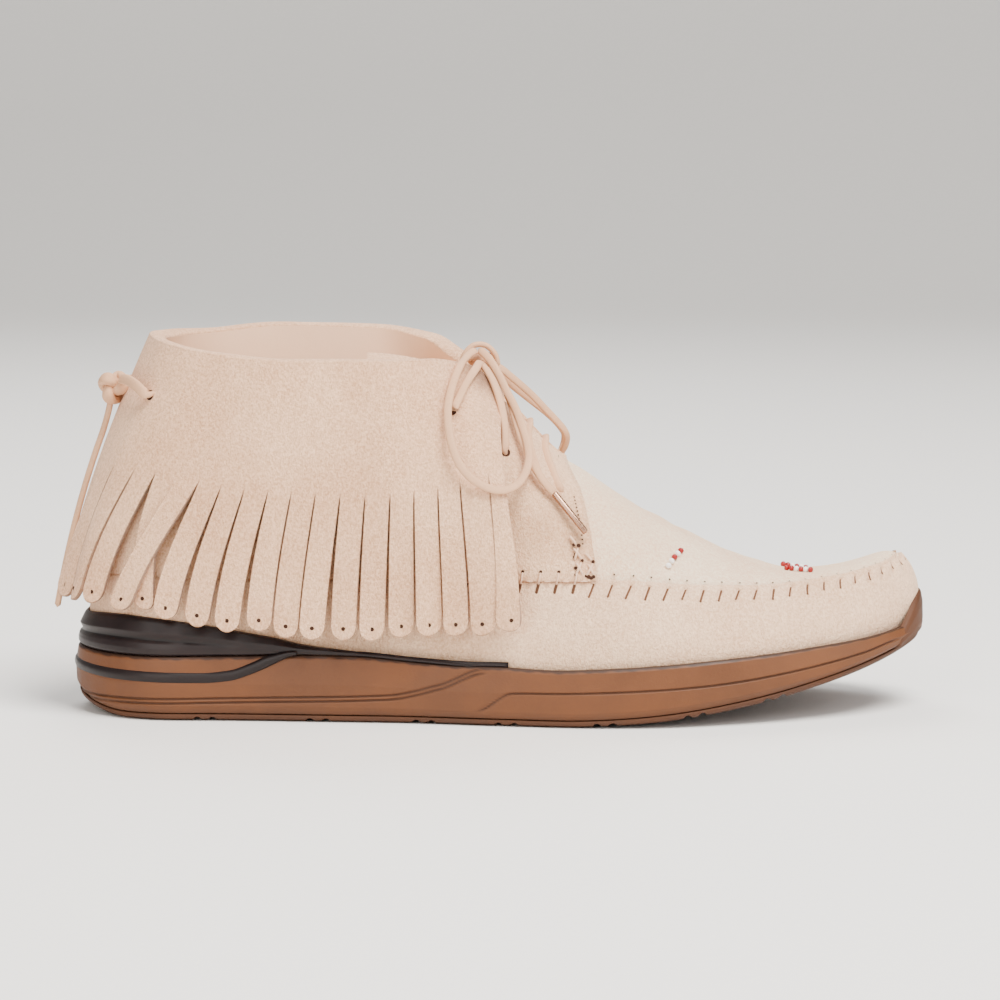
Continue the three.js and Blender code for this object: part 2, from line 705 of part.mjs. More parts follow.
// A round cord through points [x, y, z]
function makeCord(points, diameter, stretches) {
  const section = new THREE.Shape().absarc(0, 0, diameter / 2, 0, 2 * Math.PI);
  const path = new THREE.CatmullRomCurve3(points.map((point) => new THREE.Vector3(...point)));
  return solidOf(
    new THREE.ExtrudeGeometry(section, {
      steps: stretches,
      curveSegments: 4,
      bevelEnabled: false,
      extrudePath: path,
    }),
  );
}

// A knot: a pulled-tight lump
function makeKnot([x, y, z], [length, width, height]) {
  const lump = new THREE.SphereGeometry(0.5, 8, 5);
  lump.scale(length, width, height);
  lump.translate(x, y, z);
  return solidOf(lump);
}

const LACE = 3; // diameter of the round thong
const LACE_KNOT = { at: [140, -4.4, 119.8], size: [10, 9, 7.6] };
const LATERAL_LOOP = [
  [137.4, -9.8, 119.8],
  [135.3, -15.9, 120.6],
  [133.5, -25.4, 122.6],
  [130.6, -34.3, 118],
  [127.6, -40.4, 110.1],
  [127, -45.6, 102],
  [129, -49, 93.6],
  [133.7, -51, 85.7],
  [140, -51.6, 80.6],
  [146, -51, 79],
  [152, -49, 81.2],
  [156, -44.6, 86.8],
  [157.4, -37.6, 93.4],
  [155.1, -30, 100.4],
  [151, -22.6, 108.6],
  [147.6, -15.2, 116.8],
  [144, -9.6, 120.4],
];
const MEDIAL_LOOP = [
  [144.2, 0.8, 119.6],
  [149.6, 6, 114.2],
  [155, 10.5, 108],
  [160.5, 15, 101.6],
  [165.6, 19.4, 95.4],
  [168.6, 24, 89],
  [167, 29, 83],
  [162, 32.6, 80],
  [156.4, 34, 82],
  [152.6, 33.6, 88],
  [150, 31, 95],
  [147.4, 26, 103.6],
  [144.7, 17.9, 112.1],
  [142.1, 8.8, 118.3],
  [140.6, 2.6, 120.4],
];
const LATERAL_END = [
  [144.7, -7.2, 118.3],
  [148.4, -11.6, 113.4],
  [151.4, -16, 107],
  [154.2, -23, 99.8],
  [157, -31, 91.8],
  [160.4, -36.4, 85],
  [164.6, -38.4, 79.4],
  [167.6, -39, 76.4],
];
const AGLET = { from: [168, -39.2, 75.9], to: [175.2, -43.8, 65.2], diameter: 2.6 };
const COLLAR_STRAND = [
  [131.5, -40.1, 107.4],
  [133.2, -36, 111.8],
  [135.7, -30.2, 115.6],
  [138.9, -23, 119.5],
  [138.3, -14.5, 118],
  [139.2, -10.1, 116.9],
];
const EYELET_STRAND = [
  [149.8, -34, 91.4],
  [149.8, -31.2, 96.8],
  [150.2, -28, 102],
  [148.8, -24.8, 109],
  [145.2, -18.2, 115.2],
  [141.4, -10.8, 114.4],
];

add('lace_knot', 'thong', makeKnot(LACE_KNOT.at, LACE_KNOT.size));
add('lace_loop_lateral', 'thong', makeCord(LATERAL_LOOP, LACE, 18));
add('lace_loop_medial', 'thong', makeCord(MEDIAL_LOOP, LACE, 15));
add('lace_end_lateral', 'thong', makeCord(LATERAL_END, LACE, 7));
add('aglet_lateral', 'metal', makeCord([AGLET.from, AGLET.to], AGLET.diameter, 1));
add('lace_strand_collar', 'thong', makeCord(COLLAR_STRAND, LACE, 5));
add('lace_strand_eyelet', 'thong', makeCord(EYELET_STRAND, LACE, 6));

// Heel thong: laced through the back of the cuff and knotted, with one end hanging down

const THONG = 2.2;
const THONG_KNOT = { at: [15, -4, 111.4], size: [6.4, 7, 6.8] };
const THONG_LATERAL = [
  [26, -25.4, 110.8],
  [22.4, -21, 111.2],
  [19.6, -15, 111.6],
  [18, -9.4, 111.6],
];
const THONG_MEDIAL = [
  [16.6, 0.8, 111.6],
  [17.4, 6, 111.8],
  [19.4, 13, 111.6],
  [22.2, 20, 111.2],
  [25.6, 25, 110.8],
];
const THONG_END = [
  [14.2, -4, 107.6],
  [11, -3.6, 103],
  [8.4, -3.2, 96.6],
  [5.4, -2.8, 88.6],
  [2, -2.4, 79.6],
  [-1.2, -2, 70.4],
  [-4, -1.6, 61],
  [-6, -1.2, 51.6],
  [-7, -0.8, 42.6],
  [-7.4, -0.6, 34.2],
];

add('heel_thong_knot', 'thong', makeKnot(THONG_KNOT.at, THONG_KNOT.size));
add('heel_thong_lateral', 'thong', makeCord(THONG_LATERAL, THONG, 3));
add('heel_thong_medial', 'thong', makeCord(THONG_MEDIAL, THONG, 4));
add('heel_thong_end', 'thong', makeCord(THONG_END, THONG, 11));

// Bead rows sewn on the vamp: where each starts and ends, by share of the length and height on the vamp
const BEAD = { radius: 1, waist: 0.7, length: 1.7, clearance: 0.6 };
const BEAD_ROWS = [
  { name: 'bead_row_lateral', beads: 5, medial: false, from: [0.725, 0.33], to: [0.701, 0.145] },
  { name: 'bead_row_medial', beads: 5, medial: true, from: [0.725, 0.33], to: [0.701, 0.145] },
  { name: 'bead_row_toe_lateral', beads: 6, medial: false, from: [0.875, 0.52], to: [0.895, 0.3] },
  { name: 'bead_row_toe_medial', beads: 6, medial: true, from: [0.875, 0.52], to: [0.895, 0.3] },
];

function makeBeadRow({ beads, medial, from, to }) {
  const lift = BEAD.radius + BEAD.clearance;
  const at = ([along, s]) =>
    lifted(bodySurface, medial ? 2 - turnOf(along) : turnOf(along), s, lift);
  const [start, end] = [at(from), at(to)];
  const profile = [new THREE.Vector2(0, 0)];
  for (let bead = 0; bead < beads; bead += 1) {
    profile.push(new THREE.Vector2(BEAD.waist, bead * BEAD.length));
    profile.push(new THREE.Vector2(BEAD.radius, (bead + 0.5) * BEAD.length));
  }
  profile.push(new THREE.Vector2(BEAD.waist, beads * BEAD.length));
  profile.push(new THREE.Vector2(0, beads * BEAD.length));
  const row = new THREE.LatheGeometry(profile, 4);
  const direction = end.clone().sub(start).normalize();
  row.applyQuaternion(new THREE.Quaternion().setFromUnitVectors(new THREE.Vector3(0, 1, 0), direction));
  const middle = start.lerp(end, 0.5).addScaledVector(direction, (-beads * BEAD.length) / 2);
  row.translate(...middle);
  return solidOf(row);
}

for (const row of BEAD_ROWS) add(row.name, 'beads', makeBeadRow(row));

shoe.position.set(FRAME_SHIFT.x, FRAME_SHIFT.y, 0);
export default shoe;
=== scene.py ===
# %% [markdown]
# # A fringed moccasin sneaker
# The shoe is a soft suede moccasin on a moulded running sole. Its solids come packed as a fixed frame, and
# this lesson dresses them: each leather panel, strip, stitch and lace is a mesh of its own, bent onto the
# same curves that the solids follow, and each finish is a small tree of nodes.

# %% The frame
import math
import random

import bmesh
import bpy
import numpy as np
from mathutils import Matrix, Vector


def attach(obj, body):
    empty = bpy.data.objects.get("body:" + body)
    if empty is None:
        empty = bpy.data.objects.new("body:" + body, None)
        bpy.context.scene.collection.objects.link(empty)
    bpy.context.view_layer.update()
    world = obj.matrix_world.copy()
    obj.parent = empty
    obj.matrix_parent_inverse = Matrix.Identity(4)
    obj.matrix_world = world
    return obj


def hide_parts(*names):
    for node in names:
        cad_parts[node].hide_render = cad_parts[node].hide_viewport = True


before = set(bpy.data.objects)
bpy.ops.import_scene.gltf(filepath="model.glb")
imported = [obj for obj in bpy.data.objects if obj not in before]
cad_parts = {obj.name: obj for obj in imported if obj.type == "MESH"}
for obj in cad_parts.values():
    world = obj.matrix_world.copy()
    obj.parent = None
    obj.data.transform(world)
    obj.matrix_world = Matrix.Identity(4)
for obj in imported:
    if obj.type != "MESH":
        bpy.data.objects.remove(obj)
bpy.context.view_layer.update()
dice = random.Random(7)
print("nodes in the frame:", len(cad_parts))

# %% [markdown]
# ## Sizes
# The shoe is easiest to think of in millimetres from the back of its heel: x to the toe, y to the medial
# side, z up. The frame is in metres about the middle of the shoe, so one function carries points across.

# %% Millimetres to the frame
MM = 0.001
HEEL_BACK = np.array([-144.0, 1.7, 0.0])


def to_frame(points):
    return (np.asarray(points, float) + HEEL_BACK) * MM


print("toe tip in the frame:", to_frame((292, 6.5, 0)).round(3))


# %% Small formulas
def clamp(values):
    return np.clip(values, 0, 1)


def bell(off, reach, power=2):
    """One where off is zero, falling away on both sides over about one reach."""
    return np.exp(-((off / reach) ** power))


def off_middle(u):
    """How far a share is from a half: 0 at the middle, 1 at either end."""
    return np.abs(2 * u - 1)


def spread(values, u):
    """Values laid evenly over 0 to 1, read at u."""
    return np.interp(u, np.linspace(0, 1, len(values)), values)


def unit(vectors):
    return vectors / np.maximum(np.linalg.norm(vectors, axis=-1, keepdims=True), 1e-9)


def distances(points):
    """The length reached at each point of a line, from its first one."""
    return np.concatenate([[0], np.cumsum(np.linalg.norm(np.diff(points, axis=0), axis=1))])


print("a bell at one reach is", bell(1.0, 1.0).round(2))

# %% [markdown]
# ## Camera
# The photograph looks square at the lateral side from a little above the floor, through a long lens. A
# distance, an elevation and the width seen at the shoe are enough to set such a camera.

# %% Camera
CAMERA_DISTANCE = 1.7
CAMERA_ELEVATION = math.radians(7)
SEEN_WIDTH = 0.344
LOOK_AT = Vector(to_frame((146, 0, 71)))

camera = bpy.data.objects.new("camera", bpy.data.cameras.new("camera"))
bpy.context.scene.collection.objects.link(camera)
toward_camera = Vector((0, -math.cos(CAMERA_ELEVATION), math.sin(CAMERA_ELEVATION)))
camera.location = LOOK_AT + toward_camera * CAMERA_DISTANCE
camera.rotation_euler = (-toward_camera).to_track_quat("-Z", "Y").to_euler()
camera.data.lens = camera.data.sensor_width * CAMERA_DISTANCE / SEEN_WIDTH
bpy.context.scene.camera = camera
print("lens in millimetres:", round(camera.data.lens, 1))

# %% [markdown]
# ## Node arithmetic
# A finish is a formula over the surface, and it reads best as one. `Value` wraps a node's output so that
# plus, minus and times add Math nodes. `Finish` owns one material, and its `node` method makes every node.


# %% Value and Finish
class Value:
    """An output of a node, with arithmetic on it."""

    def __init__(self, finish, socket):
        self.finish = finish
        self.socket = socket

    def math(self, operation, first, second=0.0):
        return self.finish.node("ShaderNodeMath", {"operation": operation}, {0: first, 1: second})

    def __add__(self, other):
        return self.math("ADD", self, other)

    def __sub__(self, other):
        return self.math("SUBTRACT", self, other)

    def __rsub__(self, other):
        return self.math("SUBTRACT", other, self)

    def __mul__(self, other):
        return self.math("MULTIPLY", self, other)

    __radd__ = __add__
    __rmul__ = __mul__

    def between(self, low, high):
        sockets = {"Value": self, "From Min": low, "From Max": high}
        return self.finish.node("ShaderNodeMapRange", {"interpolation_type": "SMOOTHSTEP"}, sockets)


class Finish:
    """A material whose shader is a Principled BSDF."""

    def __init__(self, name):
        self.material = bpy.data.materials.new(name)
        self.material.use_nodes = True
        self.tree = self.material.node_tree
        self.shader = self.tree.nodes["Principled BSDF"]

    def node(self, kind, settings=None, sockets=None, output=0):
        made = self.tree.nodes.new(kind)
        for key, value in (settings or {}).items():
            setattr(made, key, value)
        self.feed(made, sockets or {})
        return Value(self, made.outputs[output])

    def feed(self, node, sockets):
        for key, value in sockets.items():
            if isinstance(value, Value):
                self.tree.links.new(value.socket, node.inputs[key])
            else:
                node.inputs[key].default_value = value

    def shade(self, **sockets):
        self.feed(self.shader, {key.replace("_", " "): value for key, value in sockets.items()})
        return self.material

    def coordinates(self):
        return self.node("ShaderNodeTexCoord", output="Object")

    def noise(self, place, scale, detail=3.0, roughness=0.55):
        sockets = {"Vector": place, "Scale": scale, "Detail": detail, "Roughness": roughness}
        return self.node("ShaderNodeTexNoise", {}, sockets)

    def mix(self, share, first, second):
        settings = {"data_type": "RGBA", "clamp_factor": True}
        return self.node("ShaderNodeMix", settings, {0: share, 6: first, 7: second}, 2)

    def attribute(self, name):
        return self.node("ShaderNodeAttribute", {"attribute_name": name}, output="Fac")

    def bump(self, height, distance, strength=1.0):
        sockets = {"Height": height, "Distance": distance, "Strength": strength}
        return self.node("ShaderNodeBump", {}, sockets)


def srgb(red, green, blue):
    """A colour as a picture gives it, 0 to 255, in the linear light that nodes use."""
    shares = [value / 255 for value in (red, green, blue)]
    return tuple(v / 12.92 if v <= 0.04045 else ((v + 0.055) / 1.055) ** 2.4 for v in shares) + (1.0,)


print("middle grey in linear light:", round(srgb(128, 128, 128)[0], 3))

# %% [markdown]
# ## Suede
# Suede is the split side of a hide: a short nap that scatters light, so it has no gloss, only a soft sheen at
# the edges of a form. Its colour wanders in clouds, and fine fibres break it up. Panels carry an attribute
# called shade, which is painted shade: up to one it darkens pinches and slits towards brown, and from one to
# two it goes on to painted deep shadow.

# %% Suede finish
NAP = 0.0004
# SHADE_BROWN is the brown of painted shade, and DEEP_SHADOW the colour of painted deep shadow.
SHADE_BROWN, DEEP_SHADOW = srgb(104, 66, 44), srgb(46, 27, 18)


def suede(name, light, dark):
    finish = Finish(name)
    place = finish.coordinates()
    cloud = finish.noise(place, 26.0, 4.0).between(0.3, 0.7)
    fleck = finish.noise(place, 1000.0, 4.0, 0.7).between(0.38, 0.62)
    along_nap = finish.node("ShaderNodeMapping", {}, {"Vector": place, "Scale": (1.0, 1.0, 0.5)})
    fibre = finish.noise(along_nap, 2200.0, 2.0, 0.6).between(0.38, 0.62)
    tone = cloud * 0.3 + fleck * 0.42 + fibre * 0.28
    colour = finish.mix(tone, dark, light)
    shade = finish.attribute("shade")
    # Painted shade: the shade attribute darkens the colour towards brown, and past one towards deep shadow.
    shaded = finish.mix(shade * 0.9, colour, SHADE_BROWN)
    return finish.shade(
        Base_Color=finish.mix(shade.between(1.0, 2.0), shaded, DEEP_SHADOW),
        Roughness=0.95,
        Normal=finish.bump(fibre * 0.6 + fleck * 0.5, NAP, 0.7),
        Sheen_Weight=0.2,
        Sheen_Roughness=0.5,
        Specular_IOR_Level=0.1,
    )


SUEDE = suede("suede", srgb(252, 208, 170), srgb(203, 150, 112))
WALL_SUEDE = suede("wall_suede", srgb(254, 219, 184), srgb(212, 164, 128))
# The vamp's copy is painted lighter, for the key lamp that falls on it from above.
VAMP_SUEDE_PAINTED_LIGHT = suede("vamp_suede_painted_light", srgb(255, 236, 206), srgb(232, 186, 148))
# The quarters' copy is painted lighter, and painted shade in their hollows (SHADOWS) darkens it again in
# places.
QUARTER_SUEDE = suede("quarter_suede", srgb(254, 215, 177), srgb(210, 158, 120))
print("suede finishes:", SUEDE.name, WALL_SUEDE.name, VAMP_SUEDE_PAINTED_LIGHT.name, QUARTER_SUEDE.name)

# %% [markdown]
# ## Lace leather and lining
# The laces are rounded strips of the same hide, a little darker and greyer than the suede, and the lining is
# smooth, pale leather. Both have a finer grain than the suede and a faint gloss.


# %% Lace and lining finishes
def smooth_leather(name, light, dark, roughness, grain, shade_colour=SHADE_BROWN):
    finish = Finish(name)
    place = finish.coordinates()
    cloud = finish.noise(place, 60.0, 3.0)
    fleck = finish.noise(place, 1400.0, 3.0, 0.65)
    colour = finish.mix(cloud * 0.6 + fleck * 0.4, dark, light)
    # Painted shade: the shade attribute darkens the colour towards shade_colour.
    shaded = finish.mix(finish.attribute("shade") * 0.8, colour, shade_colour)
    return finish.shade(
        Base_Color=shaded,
        Roughness=fleck * 0.15 + (roughness - 0.07),
        Normal=finish.bump(fleck * 0.7 + cloud * 0.3, grain, 0.6),
        Specular_IOR_Level=0.3,
    )


LACE_LEATHER = smooth_leather("lace_leather", srgb(228, 182, 145), srgb(188, 142, 107), 0.72, 0.0003)
LINING = smooth_leather("lining_leather", srgb(252, 214, 180), srgb(238, 194, 158), 0.65, 0.00012)
THREAD = smooth_leather("waxed_thread", srgb(238, 202, 172), srgb(206, 164, 134), 0.7, 0.0002)
# Painted shade of holes and slits: dark brown for the holes, and a lighter brown that the slits' shade gives.
HOLE_SHADE = smooth_leather("needle_hole_shade", srgb(66, 40, 27), srgb(44, 26, 18), 0.95, 0.0002, srgb(150, 104, 74))
print("leather finishes:", LACE_LEATHER.name, LINING.name, THREAD.name, HOLE_SHADE.name)

# %% [markdown]
# ## Foam, rubber and the hard moulding
# The midsole is tan foam with the satin skin that a mould leaves. The outsole is rubber of nearly the same
# colour, more matt. The stabiliser round the heel is a hard, glossy plastic that shows soft reflections.


# %% Sole finishes
def moulded(name, light, dark, line, roughness, skin, coat=0.0, gloss=0.35):
    finish = Finish(name)
    place = finish.coordinates()
    cloud = finish.noise(place, 45.0, 4.0).between(0.3, 0.7)
    fleck = finish.noise(place, 1100.0, 2.0, 0.6)
    colour = finish.mix(cloud * 0.6 + fleck * 0.4, dark, light)
    # Painted shade: the shade attribute darkens the colour towards line.
    lined = finish.mix(finish.attribute("shade"), colour, line)
    return finish.shade(
        Base_Color=lined,
        Roughness=cloud * 0.12 + fleck * 0.1 + (roughness - 0.1),
        Normal=finish.bump(fleck, skin, 0.5),
        Coat_Weight=coat,
        Coat_Roughness=0.2,
        Specular_IOR_Level=gloss,
    )


# The third colour of each is the dark of painted shade in its lines, gaps and edges.
FOAM = moulded("tan_foam", srgb(104, 61, 31), srgb(87, 50, 24), srgb(34, 18, 10), 0.55, 0.00012)
RUBBER = moulded("tan_rubber", srgb(84, 49, 26), srgb(68, 38, 19), srgb(30, 16, 9), 0.62, 0.00015)
GLOSS = moulded(
    "dark_moulding", srgb(36, 26, 26), srgb(27, 19, 19), srgb(8, 6, 6), 0.42, 0.00004, coat=0.06, gloss=0.22
)
print("sole finishes:", FOAM.name, RUBBER.name, GLOSS.name)

# %% [markdown]
# ## Metal and glass beads
# The lace ends in a rolled metal tip with a warm cast. The beads are glass: some white, some red. One finish
# serves both colours, because each bead carries its own tone in an attribute.


# %% Metal and bead finishes
def polished_metal():
    finish = Finish("lace_tip_metal")
    scratch = finish.noise(finish.coordinates(), 900.0, 2.0)
    colour = finish.mix(scratch, srgb(146, 104, 80), srgb(190, 154, 130))
    return finish.shade(Base_Color=colour, Metallic=1.0, Roughness=scratch * 0.15 + 0.2)


def bead_glass():
    finish = Finish("bead_glass")
    cloud = finish.noise(finish.coordinates(), 700.0, 2.0)
    white = finish.mix(cloud, srgb(240, 232, 226), srgb(252, 248, 244))
    red = finish.mix(cloud, srgb(130, 0, 3), srgb(160, 0, 6))
    colour = finish.mix(finish.attribute("red"), white, red)
    return finish.shade(Base_Color=colour, Roughness=cloud * 0.1 + 0.25, Coat_Weight=0.15)


METAL = polished_metal()
GLASS = bead_glass()
print("small finishes:", METAL.name, GLASS.name)

# %% [markdown]
# ## The last, in short tables
# A shoemaker shapes everything over a last. Here the last is a few tables: each row is a station, given by
# its share of the length, and each column a size there. A cubic that never overshoots reads between the rows.


# %% Tables and how to read them
def table(columns, *rows):
    return dict(zip(columns.split(), np.array(rows, float).T))


def turn_of(along):
    return np.arccos(1 - 2 * clamp(along)) / np.pi


def share_of(turn):
    return (1 - np.cos(np.pi * np.asarray(turn))) / 2


def side_of(turn):
    return np.where(np.mod(turn, 2) < 1, -1.0, 1.0)


def read(sizes, column, along):
    places, values = turn_of(sizes["along"]), sizes[column]
    slope = np.diff(values) / np.diff(places)
    before, after = slope[:-1], slope[1:]
    agree = before * after > 0
    inner = np.where(agree, 2 * before * after / np.where(agree, before + after, 1), 0)
    tangent = np.concatenate([[slope[0] if column == "reach" else 0], inner, [0]])
    place = np.clip(turn_of(along), places[0], places[-1])
    row = np.clip(np.searchsorted(places, place, side="right") - 1, 0, len(places) - 2)
    span = places[row + 1] - places[row]
    s = (place - places[row]) / span
    ends = (1 + 2 * s) * (1 - s) ** 2 * values[row] + s * s * (3 - 2 * s) * values[row + 1]
    bends = s * (1 - s) ** 2 * tangent[row] + s * s * (s - 1) * tangent[row + 1]
    return ends + span * bends


LENGTH = 292.0
PLAN = table(
    "along swing half",
    (0, 0, 36.5), (0.16, 0, 37.5), (0.36, -3.5, 38.5), (0.5, -4.5, 44.5), (0.6, -3.6, 50),
    (0.69, -1.6, 52), (0.78, 1, 49), (0.88, 4, 43), (1, 6.5, 39),
)
RIM = table(
    "along z",
    (0, 19.5), (0.52, 19.1), (0.62, 20.1), (0.73, 22.1), (0.82, 24.1), (0.9, 26.3), (1, 30.5),
)
SEAM = table(
    "along inset z drop foot lean",
    (0, 6.4, 48.5, 0, 90, 84), (0.3, 5.4, 48.5, 0, 92, 86), (0.52, 6.4, 48.9, 0, 97, 80),
    (0.62, 8.2, 48.9, 0.8, 100, 72), (0.73, 10.5, 46.6, 4, 102, 66), (0.82, 11, 45.6, 6.4, 102, 66),
    (0.9, 10, 47.2, 6.4, 102, 70), (1, 7, 52, 0, 101, 78),
)
TOP_LINE = table(
    "along x reach z rise from to",
    (0, 30, 0, 127, 0, 78, 70), (0.03, 34, 16, 126.2, 0.6, 80, 74), (0.1, 47, 28, 124.4, 2.4, 86, 84),
    (0.23, 74, 35, 122.2, 6.2, 92, 90), (0.36, 104, 34, 122, 5.8, 92, 86),
    (0.44, 121, 27, 121.6, 3.4, 90, 72), (0.49, 132, 16, 118, 0.6, 88, 48),
    (0.54, 148, 9, 105, 0, 84, 24), (0.61, 166, 2.5, 87, 0, 74, 6),
    (0.64, 174, 0, 82.4, 0, 66, 0), (0.69, 190, 0, 71.2, 0, 54, 0), (0.76, 210, 0, 59.8, 0, 38, 0),
    (0.83, 228, 0, 51.4, 0, 22, 0), (0.9, 242, 0, 46.6, 0, 14, 0), (0.95, 252, 0, 47, 0, 14, 0),
    (1, 262, 0, 48.3, 0, 16, 0),
)
FRINGE_TIPS = table(
    "along x reach z from to",
    (0, -4.5, 0, 40, 78, 66), (0.03, 0.5, 19, 39.4, 80, 70), (0.1, 23, 35, 37.4, 86, 78),
    (0.2, 54, 42, 31.6, 90, 82), (0.32, 92, 42.5, 29.2, 92, 82), (0.43, 124, 43.5, 30.2, 96, 66),
    (0.48, 138, 45, 31.8, 98, 40), (0.53, 153, 47, 33.4, 98, 16),
)
print("height of the moccasin seam at the waist:", read(SEAM, "z", 0.4).round(1), "mm")

# %% [markdown]
# ## Curves of the shoe
# A turn runs from 0 at the heel along the lateral side to 1 at the toe, and back along the medial side to 2.
# With it every surface is a function: the plan of the sole, the side wall up to the seam, the vamp and
# quarters above it, and the cuff that hangs over them.

# %% Surfaces of the last
FINITE = 1e-4
HEEL_ROUND, TOE_ROUND = 37.0, 52.0
HANDLE = 0.38
FEATHER_INSET, DISH, GAP = 4.4, 1.5, 0.3


def points_of(x, y, z):
    return np.stack(np.broadcast_arrays(x, y, z), axis=-1).astype(float)


def plan_point(turn):
    along = share_of(turn)
    x = along * LENGTH
    heel = np.sqrt(1 - np.maximum(0, 1 - x / HEEL_ROUND) ** 2)
    toe = np.sqrt(1 - np.maximum(0, 1 - (LENGTH - x) / TOE_ROUND) ** 2)
    half = read(PLAN, "half", along) * heel * toe
    return points_of(x, read(PLAN, "swing", along) + side_of(turn) * half, 0)


def plan_normal(turn):
    tangent = plan_point(turn + FINITE) - plan_point(turn - FINITE)
    return unit(points_of(tangent[..., 1], -tangent[..., 0], 0))


def ring_point(turn, outward, height):
    point = plan_point(turn) + plan_normal(turn) * np.asarray(outward)[..., None]
    point[..., 2] = height(point[..., 0]) if callable(height) else height
    return point


def rim(x):
    return read(RIM, "z", x / LENGTH)


def step_in(point, inward, slope, length):
    angle = np.radians(slope)
    rise = points_of(0, 0, length * np.sin(angle))
    return point + inward * (length * np.cos(angle))[..., None] + rise


def sweep(start, end, inward, leaving, arriving, s):
    length = HANDLE * np.linalg.norm(end - start, axis=-1)
    first = step_in(start, inward, leaving, length)
    second = step_in(end, inward, arriving, -length)
    s = np.asarray(s)[..., None]
    r = 1 - s
    return r ** 3 * start + 3 * r * r * s * first + 3 * r * s * s * second + s ** 3 * end


def seam_point(turn):
    along = share_of(turn)
    drop = np.where(side_of(turn) > 0, read(SEAM, "drop", along), 0)
    return ring_point(turn, -read(SEAM, "inset", along), read(SEAM, "z", along) - drop)


def top_point(turn):
    along, side = share_of(turn), side_of(turn)
    x = read(TOP_LINE, "x", along)
    y = read(PLAN, "swing", x / LENGTH) + side * read(TOP_LINE, "reach", along)
    rise = np.where(side > 0, read(TOP_LINE, "rise", along), 0)
    return points_of(x, y, read(TOP_LINE, "z", along) + rise)


def chord(turn):
    """The straight distance from the seam to the top line."""
    return np.linalg.norm(top_point(turn) - seam_point(turn), axis=1)


def wall(turn, s):
    along = share_of(turn)
    foot = ring_point(turn, np.full(np.shape(turn), -FEATHER_INSET), lambda x: rim(x) - DISH + GAP)
    leaving, arriving = read(SEAM, "foot", along), read(SEAM, "lean", along)
    return sweep(foot, seam_point(turn), -plan_normal(turn), leaving, arriving, s)


def body(turn, s):
    along = share_of(turn)
    leaving, arriving = read(TOP_LINE, "from", along), read(TOP_LINE, "to", along)
    return sweep(seam_point(turn), top_point(turn), -plan_normal(turn), leaving, arriving, s)


def lifted(surface, turn, s, lift):
    turn, s, lift = np.broadcast_arrays(np.mod(turn, 2), np.asarray(s, float), np.asarray(lift, float))
    back = np.where(turn <= 1, FINITE, 0.0)
    round_it = surface(turn + FINITE - back, s) - surface(turn - back, s)
    up_it = surface(turn, s + FINITE) - surface(turn, s - FINITE)
    normal = np.cross(round_it, up_it)
    size = np.linalg.norm(normal, axis=-1, keepdims=True)
    normal = np.where(size < FINITE ** 3, (0.0, 0.0, 1.0), normal / np.maximum(size, FINITE ** 4))
    return surface(turn, s) + normal * lift[..., None]


LEATHER = 1.8
QUARTER_OUT, QUARTER_IN = 1.2, -1.4
CUFF, CUFF_LIFT = 1.5, 4.4


def cuff(turn, s):
    along = share_of(turn)
    x = read(FRINGE_TIPS, "x", along)
    y = read(PLAN, "swing", x / LENGTH) + side_of(turn) * read(FRINGE_TIPS, "reach", along)
    tip = points_of(x, y, read(FRINGE_TIPS, "z", along))
    collar = lifted(body, turn, 1.0, CUFF_LIFT)
    leaving, arriving = read(FRINGE_TIPS, "from", along), read(FRINGE_TIPS, "to", along)
    return sweep(tip, collar, -plan_normal(turn), leaving, arriving, s)


def even_turns(line, start, end, count):
    """Turns that cut a line round the shoe into equal lengths."""
    fine = np.linspace(start, end, 12 * count + 1)
    reached = distances(line(fine))
    return np.interp(np.linspace(0, reached[-1], count + 1), reached, fine), reached[-1]


def round_heel(end, u):
    """Turns from one side round the heel to the other, as u goes from 0 to 1."""
    return np.mod(end * (2 * u - 1), 2)


def mirrored(u, turn):
    """The turn on the lateral half of a grid, and the turn across from it on the medial half."""
    return np.where(u <= 0.5, turn, 2 - turn)


print("collar at the heel:", top_point(np.array([0.0]))[0].round(1), "mm")

# %% [markdown]
# ## From grids to pieces
# A sheet of leather starts flat. So does each panel here: a grid whose corners run from 0 to 1, which a
# function then carries onto the shoe. The same grid, rolled round, makes a tube for a lace.


# %% Bending grids
def bent_grid(bm, columns, rows, place, shade=None):
    """A grid carried to place(u, v), with a shade(u, v), if there is one, stored at its corners."""
    layer = bm.verts.layers.float.get("shade") or bm.verts.layers.float.new("shade")
    made = bmesh.ops.create_grid(bm, x_segments=columns, y_segments=rows, size=0.5)["verts"]
    u, v = (np.array([vert.co[:2] for vert in made]) + 0.5).T
    tones = np.zeros(len(u)) if shade is None else shade(u, v)
    for vert, point, tone in zip(made, to_frame(place(u, v)), tones):
        vert.co = point
        vert[layer] = tone
    return made


def add_piece(name, bm, look, replaces=(), merge=2e-6):
    """Turns a bmesh into a piece of the shoe."""
    bmesh.ops.remove_doubles(bm, verts=bm.verts, dist=merge)
    mesh = bpy.data.meshes.new(name)
    bm.to_mesh(mesh)
    bm.free()
    mesh.shade_smooth()
    mesh.materials.append(look)
    piece = bpy.data.objects.new(name, mesh)
    bpy.context.scene.collection.objects.link(piece)
    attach(piece, "root")
    if replaces:
        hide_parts(*replaces)
    print(f"{name}: {len(mesh.polygons)} faces")
    return piece


def thicken(piece, thickness, edge=0.0003):
    """Gives a panel its leather's thickness, inward, and softens the cut edges."""
    solid = piece.modifiers.new("thickness", "SOLIDIFY")
    solid.thickness = thickness * MM
    solid.offset = -1.0
    solid.use_even_offset = False
    if edge:
        bevel = piece.modifiers.new("soft edge", "BEVEL")
        bevel.width = edge
        bevel.segments = 2
        bevel.limit_method = "ANGLE"
        bevel.angle_limit = math.radians(50)


